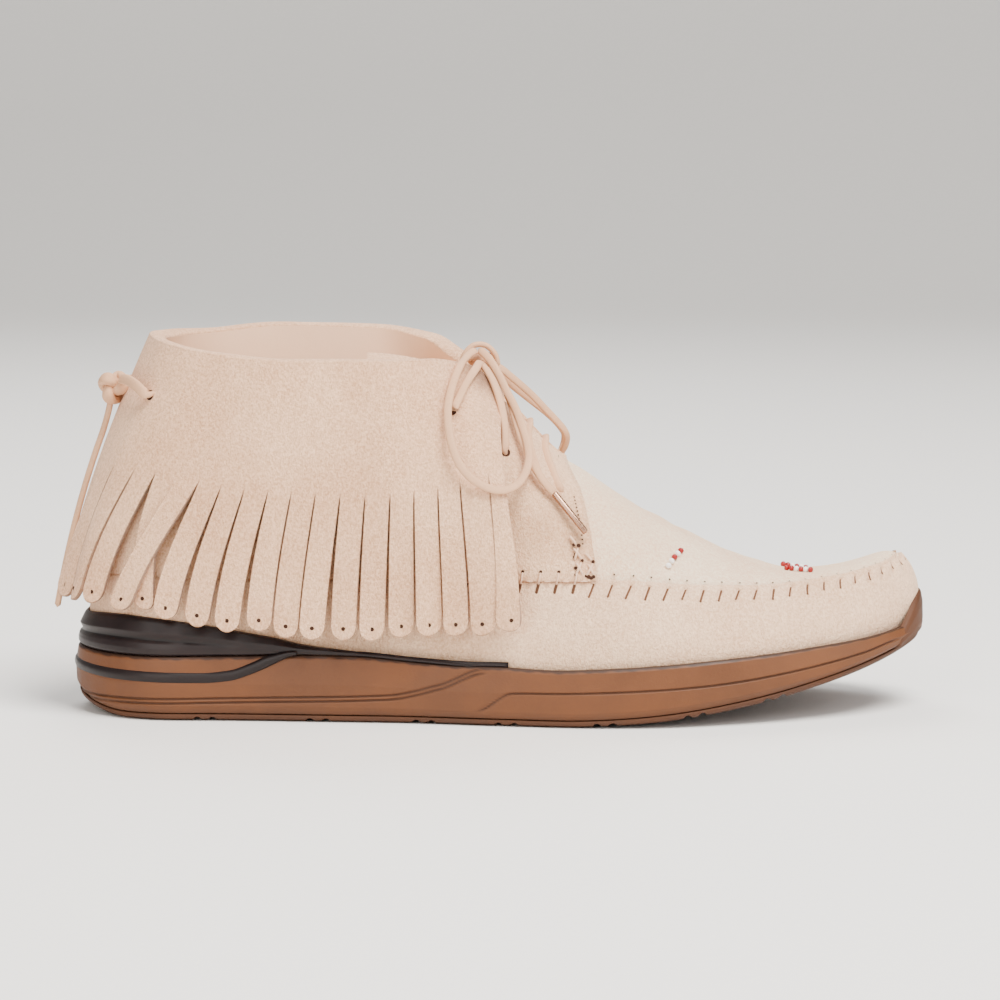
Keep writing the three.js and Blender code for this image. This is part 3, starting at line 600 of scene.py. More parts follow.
def add_panel(name, grid, place, shade, look, node, flip=False):
    """A piece bent from one grid, given by its columns and rows."""
    bm = bmesh.new()
    bent_grid(bm, *grid, place, shade)
    if flip:
        bmesh.ops.reverse_faces(bm, faces=bm.faces)
    return add_piece(name, bm, look, [node])


trial = bmesh.new()
print("a grid of 4 by 2 has", len(bent_grid(trial, 4, 2, lambda u, v: points_of(u, v, 0))), "corners")
trial.free()

# %% [markdown]
# ## Cords
# A lace is a strip of leather a little wider than thick. Its route is a smooth line through a few points, and
# its flat side keeps facing one way. A grid rolled round that line, with its ends drawn in, is the strip.


# %% Routes and straps
def smooth_line(points, spacing):
    """A centripetal Catmull-Rom curve through points, cut into even steps."""
    ends = np.asarray(points, float)
    p = np.concatenate([[2 * ends[0] - ends[1]], ends, [2 * ends[-1] - ends[-2]]])
    knots = np.concatenate([[0], np.cumsum(np.linalg.norm(np.diff(p, axis=0), axis=1) ** 0.5)])
    fine = []
    for i in range(1, len(p) - 2):
        a, b, c, d = knots[i - 1:i + 3]
        for t in np.linspace(b, c, 24, endpoint=False):
            first = ((b - t) * p[i - 1] + (t - a) * p[i]) / (b - a)
            second = ((c - t) * p[i] + (t - b) * p[i + 1]) / (c - b)
            third = ((d - t) * p[i + 1] + (t - c) * p[i + 2]) / (d - c)
            low = ((c - t) * first + (t - a) * second) / (c - a)
            high = ((d - t) * second + (t - b) * third) / (d - b)
            fine.append(((c - t) * low + (t - b) * high) / (c - b))
    fine = np.array(fine + [p[-2]])
    reached = distances(fine)
    count = max(2, round(reached[-1] / spacing))
    goals = np.linspace(0, reached[-1], count + 1)
    return np.stack([np.interp(goals, reached, fine[:, axis]) for axis in range(3)], axis=1)


def line_length(line):
    return float(distances(line)[-1])


def add_strap(bm, line, width, thickness, facing, closed_ends=True, sides=14, tone=0.0):
    """A strip rolled round a line, its flat side turned to facing, one vector or one for each point."""
    tangent = unit(np.gradient(line, axis=0))
    normal = np.broadcast_to(facing, line.shape)
    normal = unit(normal - (normal * tangent).sum(1, keepdims=True) * tangent)
    across = np.cross(tangent, normal)
    reached = distances(line)
    from_end = np.minimum(reached, reached[-1] - reached) / (0.6 * thickness)
    full = np.sqrt(1 - np.maximum(0, 1 - from_end) ** 2) if closed_ends else np.ones(len(line))

    def place(u, v):
        i = np.rint(v * (len(line) - 1)).astype(int)
        angle = -2 * np.pi * u
        wide = np.sign(np.cos(angle)) * np.abs(np.cos(angle)) ** 0.8 * width / 2 * full[i]
        deep = np.sign(np.sin(angle)) * np.abs(np.sin(angle)) ** 0.8 * thickness / 2 * full[i]
        return line[i] + across[i] * wide[:, None] + normal[i] * deep[:, None]

    return bent_grid(bm, sides, len(line) - 1, place, lambda u, v: np.full(len(u), tone))


def add_lace(name, line, width, thickness, facing, node):
    bm = bmesh.new()
    add_strap(bm, line, width, thickness, facing)
    return add_piece(name, bm, LACE_LEATHER, [node])


LACE_WIDTH, LACE_THICK = 2.8, 1.7
LACE_STEP, SHORT_STEP = 1.2, 0.8
print("a lace is", LACE_WIDTH, "by", LACE_THICK, "mm")

# %% [markdown]
# ## The bow
# The lace is tied at the top of the tongue. One loop hangs down over the cuff on the lateral side with an end
# beside it, and the other leans over the medial side. Two strands run from the knot into the cuff's eyelets.

# %% Routes of the bow
LATERAL_LOOP = [
    (138.2, -9.6, 123.9), (135.8, -12.6, 122.6), (134.1, -18, 121.3), (132.7, -27, 120.1), (130.7, -34, 116),
    (129.2, -39.4, 111.2), (128.5, -43, 106.3), (129, -47, 100), (130.3, -49.5, 94.3), (132.8, -51, 88.7),
    (136.7, -51.6, 84.4), (141.5, -51, 81.5), (146.4, -49.8, 80.3), (151, -47.4, 81.4), (154.2, -43.5, 84.8),
    (155.7, -38, 89.6), (155.4, -34, 93.5), (153.9, -29, 98.4), (151.1, -22.9, 105.2), (147.9, -18, 111),
    (145.2, -14.5, 116.3), (142.1, -11.5, 121), (138.6, -9.2, 124.2),
]
MEDIAL_LOOP = [
    (141.9, 1, 118.6), (146.4, 4, 116), (150.1, 7, 112.7), (154.1, 10, 109), (158.1, 13.5, 104.9),
    (161.8, 17, 100.6), (165.5, 20, 96.4), (168.3, 22.5, 92.8), (169.3, 24.5, 90.3), (168.8, 26.8, 87.1),
    (167.8, 29, 84.6), (167.1, 31.4, 83), (167.1, 34, 82.9), (167.8, 36.2, 84.4), (168.6, 36.8, 87),
    (168.5, 35.4, 89.8), (167.2, 32, 92.8), (163.3, 27, 97.5), (155.8, 19, 104.3), (148.1, 10, 111.4),
    (143.2, 4, 116.6),
]
LATERAL_END = [
    (142.6, -7, 118), (146, -12, 114.4), (149.4, -19, 107.5), (151.8, -26, 99.7), (154.6, -32.4, 92.6),
    (157.4, -36.6, 87), (161, -38.6, 81.6), (164.8, -39, 77.4),
]
COLLAR_STRAND = [
    (130.4, -38.6, 106.2), (130.8, -40.6, 107.4), (132.2, -37, 110), (134.5, -31.7, 114.3),
    (137.7, -23.8, 118.5), (138.9, -17, 119.8), (139.5, -11, 119.4),
]
EYELET_STRAND = [
    (147.7, -31.5, 90.9), (147.7, -34.4, 92.2), (147.8, -33.4, 95.5), (147.5, -31.3, 100.6),
    (146.3, -28.2, 107.1), (144, -23.2, 113.6), (141.6, -18.5, 117.4), (139.5, -14, 119.4),
    (138.8, -11, 119.4),
]
MEDIAL_THICK = 1.3
BOW = [
    ("bow_loop_lateral", LATERAL_LOOP, "lace_loop_lateral", (-0.2, -1, 0.35), "knot", LACE_THICK),
    ("bow_loop_medial", MEDIAL_LOOP, "lace_loop_medial", (0.4, -0.8, 0.4), "knot", MEDIAL_THICK),
    ("bow_end_lateral", LATERAL_END, "lace_end_lateral", (0.3, -1, 0.4), "fitting", LACE_THICK),
    ("bow_strand_collar", COLLAR_STRAND, "lace_strand_collar", (0.2, -0.8, 0.7), "knot", LACE_THICK),
    ("bow_strand_eyelet", EYELET_STRAND, "lace_strand_eyelet", (0.5, -0.8, 0.5), "knot", LACE_THICK),
]

# %% The bow's cords
lace_lengths = {}
for name, route, node, facing, far_end, thick in BOW:
    line = smooth_line(route, LACE_STEP)
    add_lace(name, line, LACE_WIDTH, thick, facing, node)
    lace_lengths[name] = (line, far_end)
    print(name, "is", round(line_length(line), 1), "mm long")

# %% [markdown]
# ## Knots and the lace tip
# A pulled-tight overhand knot has the shape of a trefoil: the strip passes three times round its own middle.
# One function serves the bow's knot and the small knot of the heel thong, at their own sizes.


# %% Knots
def trefoil(middle, size, count=90):
    t = np.linspace(0, 2 * np.pi, count + 1)
    x = np.sin(t) + 2 * np.sin(2 * t)
    y = np.cos(t) - 2 * np.cos(2 * t)
    z = -np.sin(3 * t)
    return np.asarray(middle) + np.stack([x / 6, z / 2.2, y / 6], axis=1) * np.asarray(size)


def add_knot(name, middle, size, width, thickness, node, extra=()):
    """A tight knot, with further turns of the strip that show round it."""
    bm = bmesh.new()
    line = trefoil(middle, np.asarray(size) - (width, thickness, width))
    add_strap(bm, line, width, thickness, unit(line - middle), closed_ends=False)
    for points in extra:
        line = smooth_line(points, SHORT_STEP)
        add_strap(bm, line, width, thickness, unit(line - middle))
    return add_piece(name, bm, LACE_LEATHER, [node])


KNOT_ARCH = [
    (132.6, -4.6, 117.6), (134, -5, 121.8), (137, -4.6, 124.8), (141, -4.2, 124.8), (144.2, -4, 121.8),
    (145.4, -4, 117.4),
]
add_knot("bow_knot", (139.4, -4.6, 119.2), (10.5, 8.5, 8.5), 3.0, 2.0, "lace_knot", [KNOT_ARCH])

# %% Lace tip
TIP_FROM, TIP_TO = np.array([164.2, -38.9, 78]), np.array([174.8, -43.6, 65.4])
TIP_ROUND = 2.4


def tip_place(u, v):
    rows = np.array([0, 0, 0.02, 0.5, 0.97, 1, 1])
    swell = np.array([0, 0.9, 1, 0.97, 0.9, 0.75, 0])
    i = np.rint(v * (len(rows) - 1)).astype(int)
    axis = unit(TIP_TO - TIP_FROM)
    across = unit(np.cross(axis, (0, -1, 0.3)))
    deep = np.cross(axis, across)
    angle = -2 * np.pi * u
    seam = 1 - 0.12 * bell(u - 0.22, 0.02)
    radius = TIP_ROUND / 2 * swell[i] * seam
    ring = np.cos(angle)[:, None] * across + np.sin(angle)[:, None] * deep
    return TIP_FROM + (TIP_TO - TIP_FROM) * rows[i][:, None] + ring * radius[:, None]


lace_tip = add_panel("lace_tip", (32, 6), tip_place, None, METAL, "aglet_lateral")

# %% [markdown]
# ## The heel thong
# A narrower thong draws the back of the cuff together. It comes out of a hole on each side, is knotted behind
# the heel, and leaves one end hanging past the fringe.

# %% Heel thong
THONG_WIDTH, THONG_THICK = 3.1, 1.9
THONG_KNOT = (13.8, -4, 110.6)
THONG_LATERAL = [
    (29.5, -23.4, 110), (26.4, -25.8, 110.2), (23.2, -23.4, 112.6), (19.6, -16.4, 114), (16.4, -8, 113.6),
]
THONG_MEDIAL = [
    (29, 23, 110.2), (25.8, 24.4, 110.8), (22.2, 19.6, 111.2), (19.4, 13, 111.6), (17.2, 5, 111.8),
    (16, -1, 111.6),
]
heel_line = lifted(cuff, np.full(9, 0.004), np.linspace(0.62, -0.06, 9), np.linspace(1.9, 0.9, 9))
THONG_END = [(13.2, -4.4, 108), (12, -4, 102.4)] + [tuple(point) for point in heel_line]
heel_knot = add_knot("heel_knot", THONG_KNOT, (12.4, 11.0, 13.4), 4.4, 3.2, "heel_thong_knot")
for name, route, node in (
    ("thong_wrap_lateral", THONG_LATERAL, "heel_thong_lateral"),
    ("thong_wrap_medial", THONG_MEDIAL, "heel_thong_medial"),
):
    line = smooth_line(route, SHORT_STEP)
    add_lace(name, line, THONG_WIDTH * 1.2, THONG_THICK, (-0.8, -0.5, 0.4), node)
thong_line = smooth_line(THONG_END, LACE_STEP)
thong_end = add_lace(
    "thong_end", thong_line, THONG_WIDTH * 0.8, THONG_THICK * 0.9, (-0.7, -0.7, 0.1), "heel_thong_end"
)

# %% [markdown]
# Each free cord's first point and its line are carried into the frame, and the cords are counted.

# %% The cords in the frame
for name, (line, far_end) in lace_lengths.items():
    tuple(to_frame(line[0]))
    [tuple(p) for p in to_frame(line)]
tuple(to_frame(thong_line[0]))
[tuple(p) for p in to_frame(thong_line)]
print("cords declared:", len(lace_lengths) + 1)

# %% [markdown]
# ## Shadow of the laces
# Soft lamps leave little shade between the laces and the hide. The panels there store some of it: close to
# the knot it follows the laces, and a short table adds the shade of the loop and of folds further down.

# %% Shadow of the laces
lace_points = np.concatenate([line for line, far_end in lace_lengths.values()])
BELOW_KNOT = np.array([140.0, -14.0, 116.0])
SHADOWS = table(
    "x y z half dark",
    (139.8, -16, 114.4, 3.4, 1.1), (136.1, -13, 120, 2.6, 1.5), (147.5, -50, 72.6, 8, 0.13),
    (140, -50, 73, 7, 0.09), (170.2, -42, 62.5, 7, 0.2), (160.5, -43, 66, 9, 0.2), (153, -45, 72, 8, 0.16),
)


def lace_shade(points):
    """Shade to store at points of the hide near the laces."""
    away = np.linalg.norm(points[:, None] - lace_points[None], axis=2).min(axis=1)
    near_knot = clamp(1.8 - np.linalg.norm(points - BELOW_KNOT, axis=1) / 10)
    shadow = bell(away, 7.0) * near_knot
    for x, y, z, half, dark in zip(*SHADOWS.values()):
        off = (points - (x, y, z)) * (1, 0.25, 1)
        shadow = np.maximum(shadow, dark * np.exp(-(off ** 2).sum(axis=1) / half ** 2))
    return shadow


print("lace points that cast it:", len(lace_points))

# %% [markdown]
# ## Gathers
# The forefoot of a moccasin is one piece of hide drawn up round the toe, and a shorter plug is sewn into it.
# Each slanted stitch pinches the wall, so the wall swells a little between stitches. The stitches are placed
# first, by their even pitch along the seam, because wall, seam and thread all follow them.

# %% Places of the gather stitches
GATHER_PITCH = 6.3
GATHER_FROM = turn_of(0.605)
GATHER_SLANT = 1.5
PINCH_HALF = 0.95
fine_turns = np.linspace(0, 2, 4001)
fine_lengths = distances(seam_point(fine_turns))


def seam_lengths(turns):
    """Length along the seam from the heel, for turns from 0 to 2."""
    return np.interp(np.mod(turns, 2), fine_turns, fine_lengths)


def turn_at(place):
    return np.interp(place, fine_lengths, fine_turns)


gather_start, gather_end = seam_lengths(np.array([GATHER_FROM, 2 - GATHER_FROM]))
gather_count = round((gather_end - gather_start) / GATHER_PITCH)
gather_places = np.linspace(gather_start, gather_end, gather_count + 1)
print("gather stitches:", len(gather_places))


def pinch(turn, below):
    """How tightly the stitches pinch the leather, 0 to 1, at a distance below the seam."""
    turn = np.mod(turn, 2)
    side = np.where(turn < 1, 1.0, -1.0)
    reached = seam_lengths(turn) + side * GATHER_SLANT * (below - 1.0) / 3
    nearest = np.abs(reached[:, None] - gather_places[None, :]).min(axis=1)
    fade = clamp((reached - gather_start + 2) / 3) * clamp((gather_end + 2 - reached) / 3)
    return bell(nearest, PINCH_HALF) * fade


# %% [markdown]
# ## Side wall
# The wall rises from the sole to the seam all round the foot. It is cut fine enough for each pinch, and its
# soft hand shows as slow waves that fade towards the stiff edge of the sole.

# %% Side wall
WALL_HEIGHT = 28.0
WALL_GRID = (900, 32)
wall_turns = even_turns(seam_point, 0, 2, WALL_GRID[0])[0]


def wall_turn(u):
    return spread(wall_turns, u)


def wall_waves(turn, s):
    """Slow waves of soft leather, in millimetres."""
    reached = seam_lengths(turn)
    soft = np.sin(np.pi * clamp(s))
    return soft * (0.28 * np.sin(reached / 19) + 0.22 * np.sin(reached / 11.3 + 3 * s + 1))


def wall_lift(turn, s):
    """How far the soft wall stands off the last, in millimetres."""
    below = (1 - s) * WALL_HEIGHT
    pulled = pinch(turn, below) * bell(below, 4.5, 4)
    swell = 0.5 * bell(below - 3.5, 5)
    toe = bell(np.mod(turn, 2) - 1, 0.1) * (3.4 * np.sin(np.pi * s) - 0.4 * s ** 6)
    return wall_waves(turn, s) + swell - 1.1 * pulled + toe


def wall_place(u, v):
    return lifted(wall, wall_turn(u), v, wall_lift(wall_turn(u), v))


def wall_shade(u, v):
    # Painted shade in the pinches of the stitches, and a dark line at the foot of the wall where it meets the
    # sole.
    below = (1 - v) * WALL_HEIGHT
    tight = pinch(wall_turn(u), below) ** 2 * bell(below, 4.6, 4)
    return 0.3 * tight + 0.5 * np.exp(-v * WALL_HEIGHT / 0.9)


side_wall = add_panel("side_wall", WALL_GRID, wall_place, wall_shade, WALL_SUEDE, "upper")
thicken(side_wall, LEATHER, edge=0)

# %% [markdown]
# ## Vamp plug
# The plug covers the foot from seam to seam. At the toe its two halves close to a line, and at the throat it
# runs back under the quarters. A few soft folds cross it where the foot bends.

# %% Vamp plug
VAMP_FROM = turn_of(0.6)
VAMP_GRID = (150, 220)
FOLDS = table(
    "x slope depth half",
    (196, -0.12, 0.35, 3.5), (209, -0.3, 0.3, 3.0), (222, 0.1, 0.25, 3.5), (233, -0.2, 0.2, 3.0),
)


def folds(points):
    """Soft troughs across the vamp, each with a low ridge beside it."""
    depth = np.zeros(len(points))
    for x, slope, deep, half in zip(*FOLDS.values()):
        off = (points[:, 0] - x - slope * points[:, 1]) / half
        depth += deep * (0.5 * bell(off - 1.8, 1) - bell(off, 1))
    return depth


def vamp_turn(v):
    return VAMP_FROM + (1 - VAMP_FROM) * v


def vamp_corner(u, v):
    """The turn and share at a corner of the plug, and its distance from the seam."""
    s = 1 - off_middle(u)
    return mirrored(u, vamp_turn(v)), s, s * chord(vamp_turn(v))


def vamp_place(u, v):
    here, s, away = vamp_corner(u, v)
    flat = lifted(body, here, s, 0.0)
    at_toe = bell(vamp_turn(v) - 1, 0.1)
    pulled = (0.5 * pinch(here, 0 * s) + 0.8 * at_toe) * bell(away, 3.2)
    lift = folds(flat) * clamp(s * 2) - pulled
    points = lifted(body, here, s, lift)
    middle = np.abs(u - 0.5) < 0.5 / VAMP_GRID[0]
    across = lifted(body, 2 - here[middle], s[middle], lift[middle])
    points[middle] = (points[middle] + across) / 2
    return points


def vamp_shade(u, v):
    here, s, away = vamp_corner(u, v)
    # Painted shade in the pinches and along the seam.
    return 0.2 * pinch(here, 0 * s) * bell(away, 2.2) + 0.15 * bell(away, 1.6)


vamp = add_panel("vamp_plug", VAMP_GRID, vamp_place, vamp_shade, VAMP_SUEDE_PAINTED_LIGHT, "upper", flip=True)
thicken(vamp, LEATHER, edge=0)

# %% [markdown]
# ## The raised seam
# Wall and plug meet edge to edge, and the edges stand up as a low ridge. It is pulled down by every gather
# stitch, and it runs flatter under the cuff, where the seam is sewn straight.

# %% Raised seam
RIDGE_HALF, RIDGE_PROUD, RIDGE_BACK = 1.1, 0.16, 0.12
RIDGE_SUNK = 0.7


def ridge_place(u, v):
    turn = wall_turn(u)
    seam = seam_point(turn)
    up = unit(seam - wall(turn, np.full(len(turn), 0.9)))
    out = unit(np.cross(np.cross(up, plan_normal(turn)), up))
    front = clamp((share_of(turn) - 0.58) / 0.05)
    toe = 1 - bell(turn - 1, 0.09)
    tall = (RIDGE_BACK + (RIDGE_PROUD - RIDGE_BACK) * front) * (1 - 0.6 * pinch(turn, 0 * turn)) * toe
    angle = np.pi * v
    along = -np.cos(angle) * RIDGE_HALF
    proud = np.sin(angle) * (tall + RIDGE_SUNK * toe) - RIDGE_SUNK - 1.2 * (1 - toe)
    return seam + up * along[:, None] + out * proud[:, None]


def ridge_shade(u, v):
    # Painted shade in the pinches and along the ridge's upper side.
    turn = wall_turn(u)
    upper_edge = clamp(v * 2 - 1) ** 6
    return 0.12 * pinch(turn, 0 * turn) + 0.15 * upper_edge


add_panel("raised_seam", (WALL_GRID[0], 10), ridge_place, ridge_shade, WALL_SUEDE, "upper")

# %% [markdown]
# ## Quarters
# The quarters wrap the ankle from one side of the throat round the heel to the other. They lie over the plug,
# and their front edges run down from the throat to the seam. The cuff hides most of what lies behind that.

# %% Quarters
QUARTER_FRONT = turn_of(0.625)
FRONT_EDGE = table("along x", (0, 0.609), (0.2, 0.609), (0.4, 0.614), (0.6, 0.62), (1, 0.619))
QUARTER_GRID = (260, 70)
DENTS = table(
    "x z depth half",
    (172, 62, 0.8, 7), (163, 66, 0.5, 9), (156, 58, 0.45, 7), (166, 80, -0.4, 6), (158, 73, -0.35, 6),
)


def dents(points):
    """Soft hollows and swells of the quarter below the laces."""
    lift = np.zeros(len(points))
    for x, z, depth, half in zip(*DENTS.values()):
        lift -= depth * np.exp(-((points[:, 0] - x) ** 2 + (points[:, 2] - z) ** 2) / half ** 2)
    return lift


def quarter_edge(v):
    """The turn at which the quarter's front edge lies, at a share of its height."""
    return turn_of(np.interp(v, FRONT_EDGE["along"], FRONT_EDGE["x"]))


def quarter_place(u, v):
    turn = round_heel(quarter_edge(v), u)
    flat = lifted(body, turn, v, QUARTER_OUT)
    return lifted(body, turn, v, QUARTER_OUT + dents(flat))


def quarter_shade(u, v):
    # Painted shade along the front edges and the seam, and under the laces.
    edge = np.minimum(u, 1 - u) * 2 * QUARTER_GRID[0]
    edges = 0.2 * np.exp(-edge / 1.2) + 0.2 * np.exp(-v * 60 / 1.5)
    return np.maximum(edges, lace_shade(quarter_place(u, v)))


quarters = add_panel("quarters", QUARTER_GRID, quarter_place, quarter_shade, QUARTER_SUEDE, "upper")
thicken(quarters, QUARTER_OUT - QUARTER_IN)

# %% [markdown]
# ## Collar roll and lining
# At the top the cuff is folded outward over the collar, so the rim is a soft roll. Inside, a smooth lining
# runs from the roll down to the insole.

# %% Collar roll
CUFF_FRONT = turn_of(0.53)
LINING_LIFT = QUARTER_IN - 0.3
ROLL_RISE = 1.1
ROLL_GRID = (300, 14)


def roll_place(u, v):
    turn = round_heel(CUFF_FRONT, u)
    outer = lifted(body, turn, 1.0, CUFF_LIFT + 0.05)
    inner = lifted(body, turn, 1.0, LINING_LIFT)
    up = unit(body(turn, np.full(len(turn), 1.0)) - body(turn, np.full(len(turn), 0.97)))
    angle = np.pi * v
    share = (1 - np.cos(angle)) / 2
    uneven = 1 + 0.12 * np.sin(turn * 23) + 0.1 * np.sin(turn * 51 + 1)
    rise = ROLL_RISE * np.sin(angle) * uneven
    return outer + (inner - outer) * share[:, None] + up * rise[:, None]


def roll_shade(u, v):
    return lace_shade(roll_place(u, v))


add_panel("collar_roll", ROLL_GRID, roll_place, roll_shade, SUEDE, "upper")

# %% Lining
LINING_BODY = 0.62
LINING_GRID = (220, 50)


def lining_place(u, v):
    turn = round_heel(QUARTER_FRONT, u)
    upper_part = lifted(body, turn, 1 - np.minimum(v / LINING_BODY, 1), LINING_LIFT)
    lower_s = 1 - clamp((v - LINING_BODY) / (1 - LINING_BODY))
    lower_part = lifted(wall, turn, lower_s, -LEATHER - 0.3)
    waves = 0.4 * np.sin(turn * 29) * np.sin(np.pi * v) ** 2
    points = np.where((v <= LINING_BODY)[:, None], upper_part, lower_part)
    return points - plan_normal(turn) * waves[:, None]


def lining_shade(u, v):
    # Painted shade, growing from the collar down into the shoe.
    return 0.25 * v


add_panel("collar_lining", LINING_GRID, lining_place, lining_shade, LINING, "upper", flip=True)

# %% [markdown]
# ## Tongue and insole
# The tongue follows the underside of the quarters across the throat, then lies back into the collar, where
# its rounded top shows. The insole is a shallow cup that the foot has pressed.

# %% Tongue
TONGUE_LIFT, TONGUE_THICK = -3.0, 1.8
TONGUE_FROM, TONGUE_TO, TONGUE_LOW = turn_of(0.485), turn_of(0.645), 0.76
TONGUE_LEAN = 28.0
TONGUE_SHARE = 0.35
TONGUE_GRID = (60, 60)


def tongue_place(u, v):
    on_foot = clamp((v - TONGUE_SHARE) / (1 - TONGUE_SHARE))
    turn = TONGUE_FROM + (TONGUE_TO - TONGUE_FROM) * on_foot
    aside = off_middle(u)
    s = TONGUE_LOW + (1 - TONGUE_LOW) * (1 - aside)
    points = lifted(body, mirrored(u, turn), s, TONGUE_LIFT)
    other = lifted(body, mirrored(u, 2 - turn), s, TONGUE_LIFT)
    near = clamp((s - 0.9) / 0.1)[:, None] * 0.5
    points = points * (1 - near) + other * near
    back = clamp(1 - v / TONGUE_SHARE)
    rounded = 1 - 0.55 * aside ** 4
    rise = 4.5 * np.sin(np.pi / 2 * back) + 1.5 * back * aside
    return points + points_of(-TONGUE_LEAN * back * rounded, 0, rise)


def tongue_shade(u, v):
    return lace_shade(tongue_place(u, v))


tongue = add_panel(
    "laced_tongue", TONGUE_GRID, tongue_place, tongue_shade, SUEDE, "tongue", flip=True
)
thicken(tongue, TONGUE_THICK)

# %% Insole
INSOLE_THICK = 4.0
INSOLE_GRID = (40, 120)


def insole_place(u, v):
    turn = clamp(v)
    inset = np.full(len(u), -FEATHER_INSET - LEATHER - 0.7)
    lateral = ring_point(turn, inset, 0.0)
    medial = ring_point(2 - turn, inset, 0.0)
    across = off_middle(u)
    points = lateral + (medial - lateral) * u[:, None]
    cup = 3.0 * across ** 4 - 0.8 * bell(points[:, 0] - 45, 30) * (1 - across ** 2)
    points[:, 2] = rim(points[:, 0]) - DISH + 1.5 * GAP + INSOLE_THICK + cup - 0.4
    return points


def insole_shade(u, v):
    return 0.15 + 0.2 * bell(v - 0.2, 0.1)


add_panel("footbed", INSOLE_GRID, insole_place, insole_shade, LINING, "insole", flip=True)

# %% [markdown]
# ## The fringed cuff
# The cuff is a band of suede hung from the collar and slit into strips below. One grid makes the band, and
# one grid for each strip meets it edge to edge, so the leather runs through. The strips hang freely: each has
# a little sway, twist and lift of its own, and at the heel two of them cross.

# %% How each strip hangs
STRIPS = 38
STRIP_COLUMNS, STRIP_ROWS, TIP_ROWS = 8, 30, 9
SIDE_STOPS = np.array([-1, -0.95, -0.64, -0.32, 0, 0.32, 0.64, 0.95, 1])
STRIP_LONG = 52.0
SLIT = 0.54
SLIT_AHEAD = 0.42
strip_turns, tips_length = even_turns(
    lambda turn: cuff(np.mod(turn, 2), 0 * turn), -CUFF_FRONT, CUFF_FRONT, STRIPS
)
strip_half = tips_length / STRIPS / 2
cuts = np.arange(STRIPS + 1)
from_heel = cuts - STRIPS / 2
ahead = SLIT_AHEAD * np.clip(from_heel / 3, -1, 1) * clamp(STRIPS / 2 - np.abs(from_heel))
slit_turns = np.interp(cuts + ahead, cuts, strip_turns)
hang = []
for index in range(STRIPS):
    hang.append({
        "sway": dice.gauss(0, 0.12), "twist": dice.gauss(0, 0.45), "lift": abs(dice.gauss(0, 0.5)),
        "cup": dice.uniform(-0.2, 0.35), "length": dice.gauss(0, 0.009), "power": 1.5,
    })
AT_HEEL = {
    20: (-0.3, 1.8, -1.6), 21: (-0.5, 1.2, 0.9), 22: (-0.8, 0.5, -0.6), 23: (1.7, -0.3, 0.3),
    24: (-2.1, 3.0, 0.5), 25: (-0.7, 0.8, -0.5),
}
for index, (sway, lift, twist) in AT_HEEL.items():
    hang[index].update(sway=sway, lift=lift, twist=twist)
hang[24]["power"] = 0.7
hang[26]["sway"] = -0.3
FURTHER_SWAY = {
    27: -0.2, 28: 0.3, 29: 0.2, 31: 0.2, 32: 0.2, 33: 0.4, 34: 0.3, 35: 0.35, 36: 0.25, 37: 0.25,
}
for index, further in FURTHER_SWAY.items():
    hang[index]["sway"] += further
print("strips:", STRIPS, "each about", round(2 * strip_half, 1), "mm wide")


# %% Band and strips
def strip_place(index):
    top, tip = slit_turns[index:index + 2], strip_turns[index:index + 2]
    loose = hang[index]

    def place(u, v, extra=0.0):
        side = spread(SIDE_STOPS, u)
        straight = 1 - TIP_ROWS / STRIP_ROWS
        tip_share = clamp((v - straight) / (1 - straight))
        down = (STRIP_LONG - strip_half) * np.minimum(v / straight, 1)
        drop = (down + strip_half * tip_share * np.sqrt(1 - side ** 2 / 2)) / STRIP_LONG
        across = side * np.sqrt(1 - tip_share ** 2 / 2)
        middle = top.mean() + (tip.mean() - top.mean()) * drop
        half = (np.diff(top) + (np.diff(tip) - np.diff(top)) * drop) / 2
        narrow = 1 - 0.05 * clamp(drop * 12) - 0.05 * drop
        turn = middle + half * (across * narrow + loose["sway"] * drop ** 1.4)
        long = SLIT * drop * (1 + loose["length"] * drop)
        lift = loose["lift"] * drop ** loose["power"] + loose["twist"] * across * drop
        return lifted(cuff, turn, SLIT - long, lift + loose["cup"] * (1 - across ** 2) * drop + extra)

    return place


def strip_shade(u, v):
    # Painted shade along each strip's cut sides and tip, where the gaps between strips are dark.
    rim_of_strip = (off_middle(u) > 0.99) | (v > 0.99)
    return 0.75 * rim_of_strip * clamp(v * 8)


band_cuts = (cuts[:-1, None] + (SIDE_STOPS[None, :-1] + 1) / 2).ravel()
band_turns = np.interp(np.append(band_cuts, STRIPS), cuts, slit_turns)


def band_place(u, v):
    return lifted(cuff, spread(band_turns, u), SLIT + (1 - SLIT) * v, 0.0)


BAND_ROWS, HOLE_ROW = 36, 23
strip_holes = []
bm = bmesh.new()
bent_grid(bm, STRIPS * STRIP_COLUMNS, BAND_ROWS, band_place, lambda u, v: lace_shade(band_place(u, v)))
for index in range(STRIPS):
    place = strip_place(index)
    verts = bent_grid(
        bm, STRIP_COLUMNS, STRIP_ROWS, place,
        lambda u, v: np.maximum(strip_shade(u, v), lace_shade(place(u, v))),
    )
    bmesh.ops.reverse_faces(bm, faces=list({face for vert in verts for face in vert.link_faces}))
    hole_at = np.array([0.5]), np.array([HOLE_ROW / STRIP_ROWS])
    strip_holes.append((place(*hole_at, 0.05)[0], place(*hole_at, 1.0)[0]))
fringe = add_piece("fringed_cuff", bm, SUEDE, ["fringe_cuff"], merge=4e-5)
thicken(fringe, CUFF, edge=0.00025)

# %% [markdown]
# ## Stitches and needle holes
# Thread is a thin tube laid along a short line, and a needle hole is a small dark disc of painted shade
# pressed into the hide. All of them share two meshes. Gathers slant round the toe; along the waist the seam
# is sewn straight.


# %% Threads, slits and pits
def add_thread(bm, points, radius):
    line = smooth_line(points, 0.5)
    add_strap(bm, line, 2 * radius, 2 * radius, (0.3, -0.9, 0.4), sides=8)


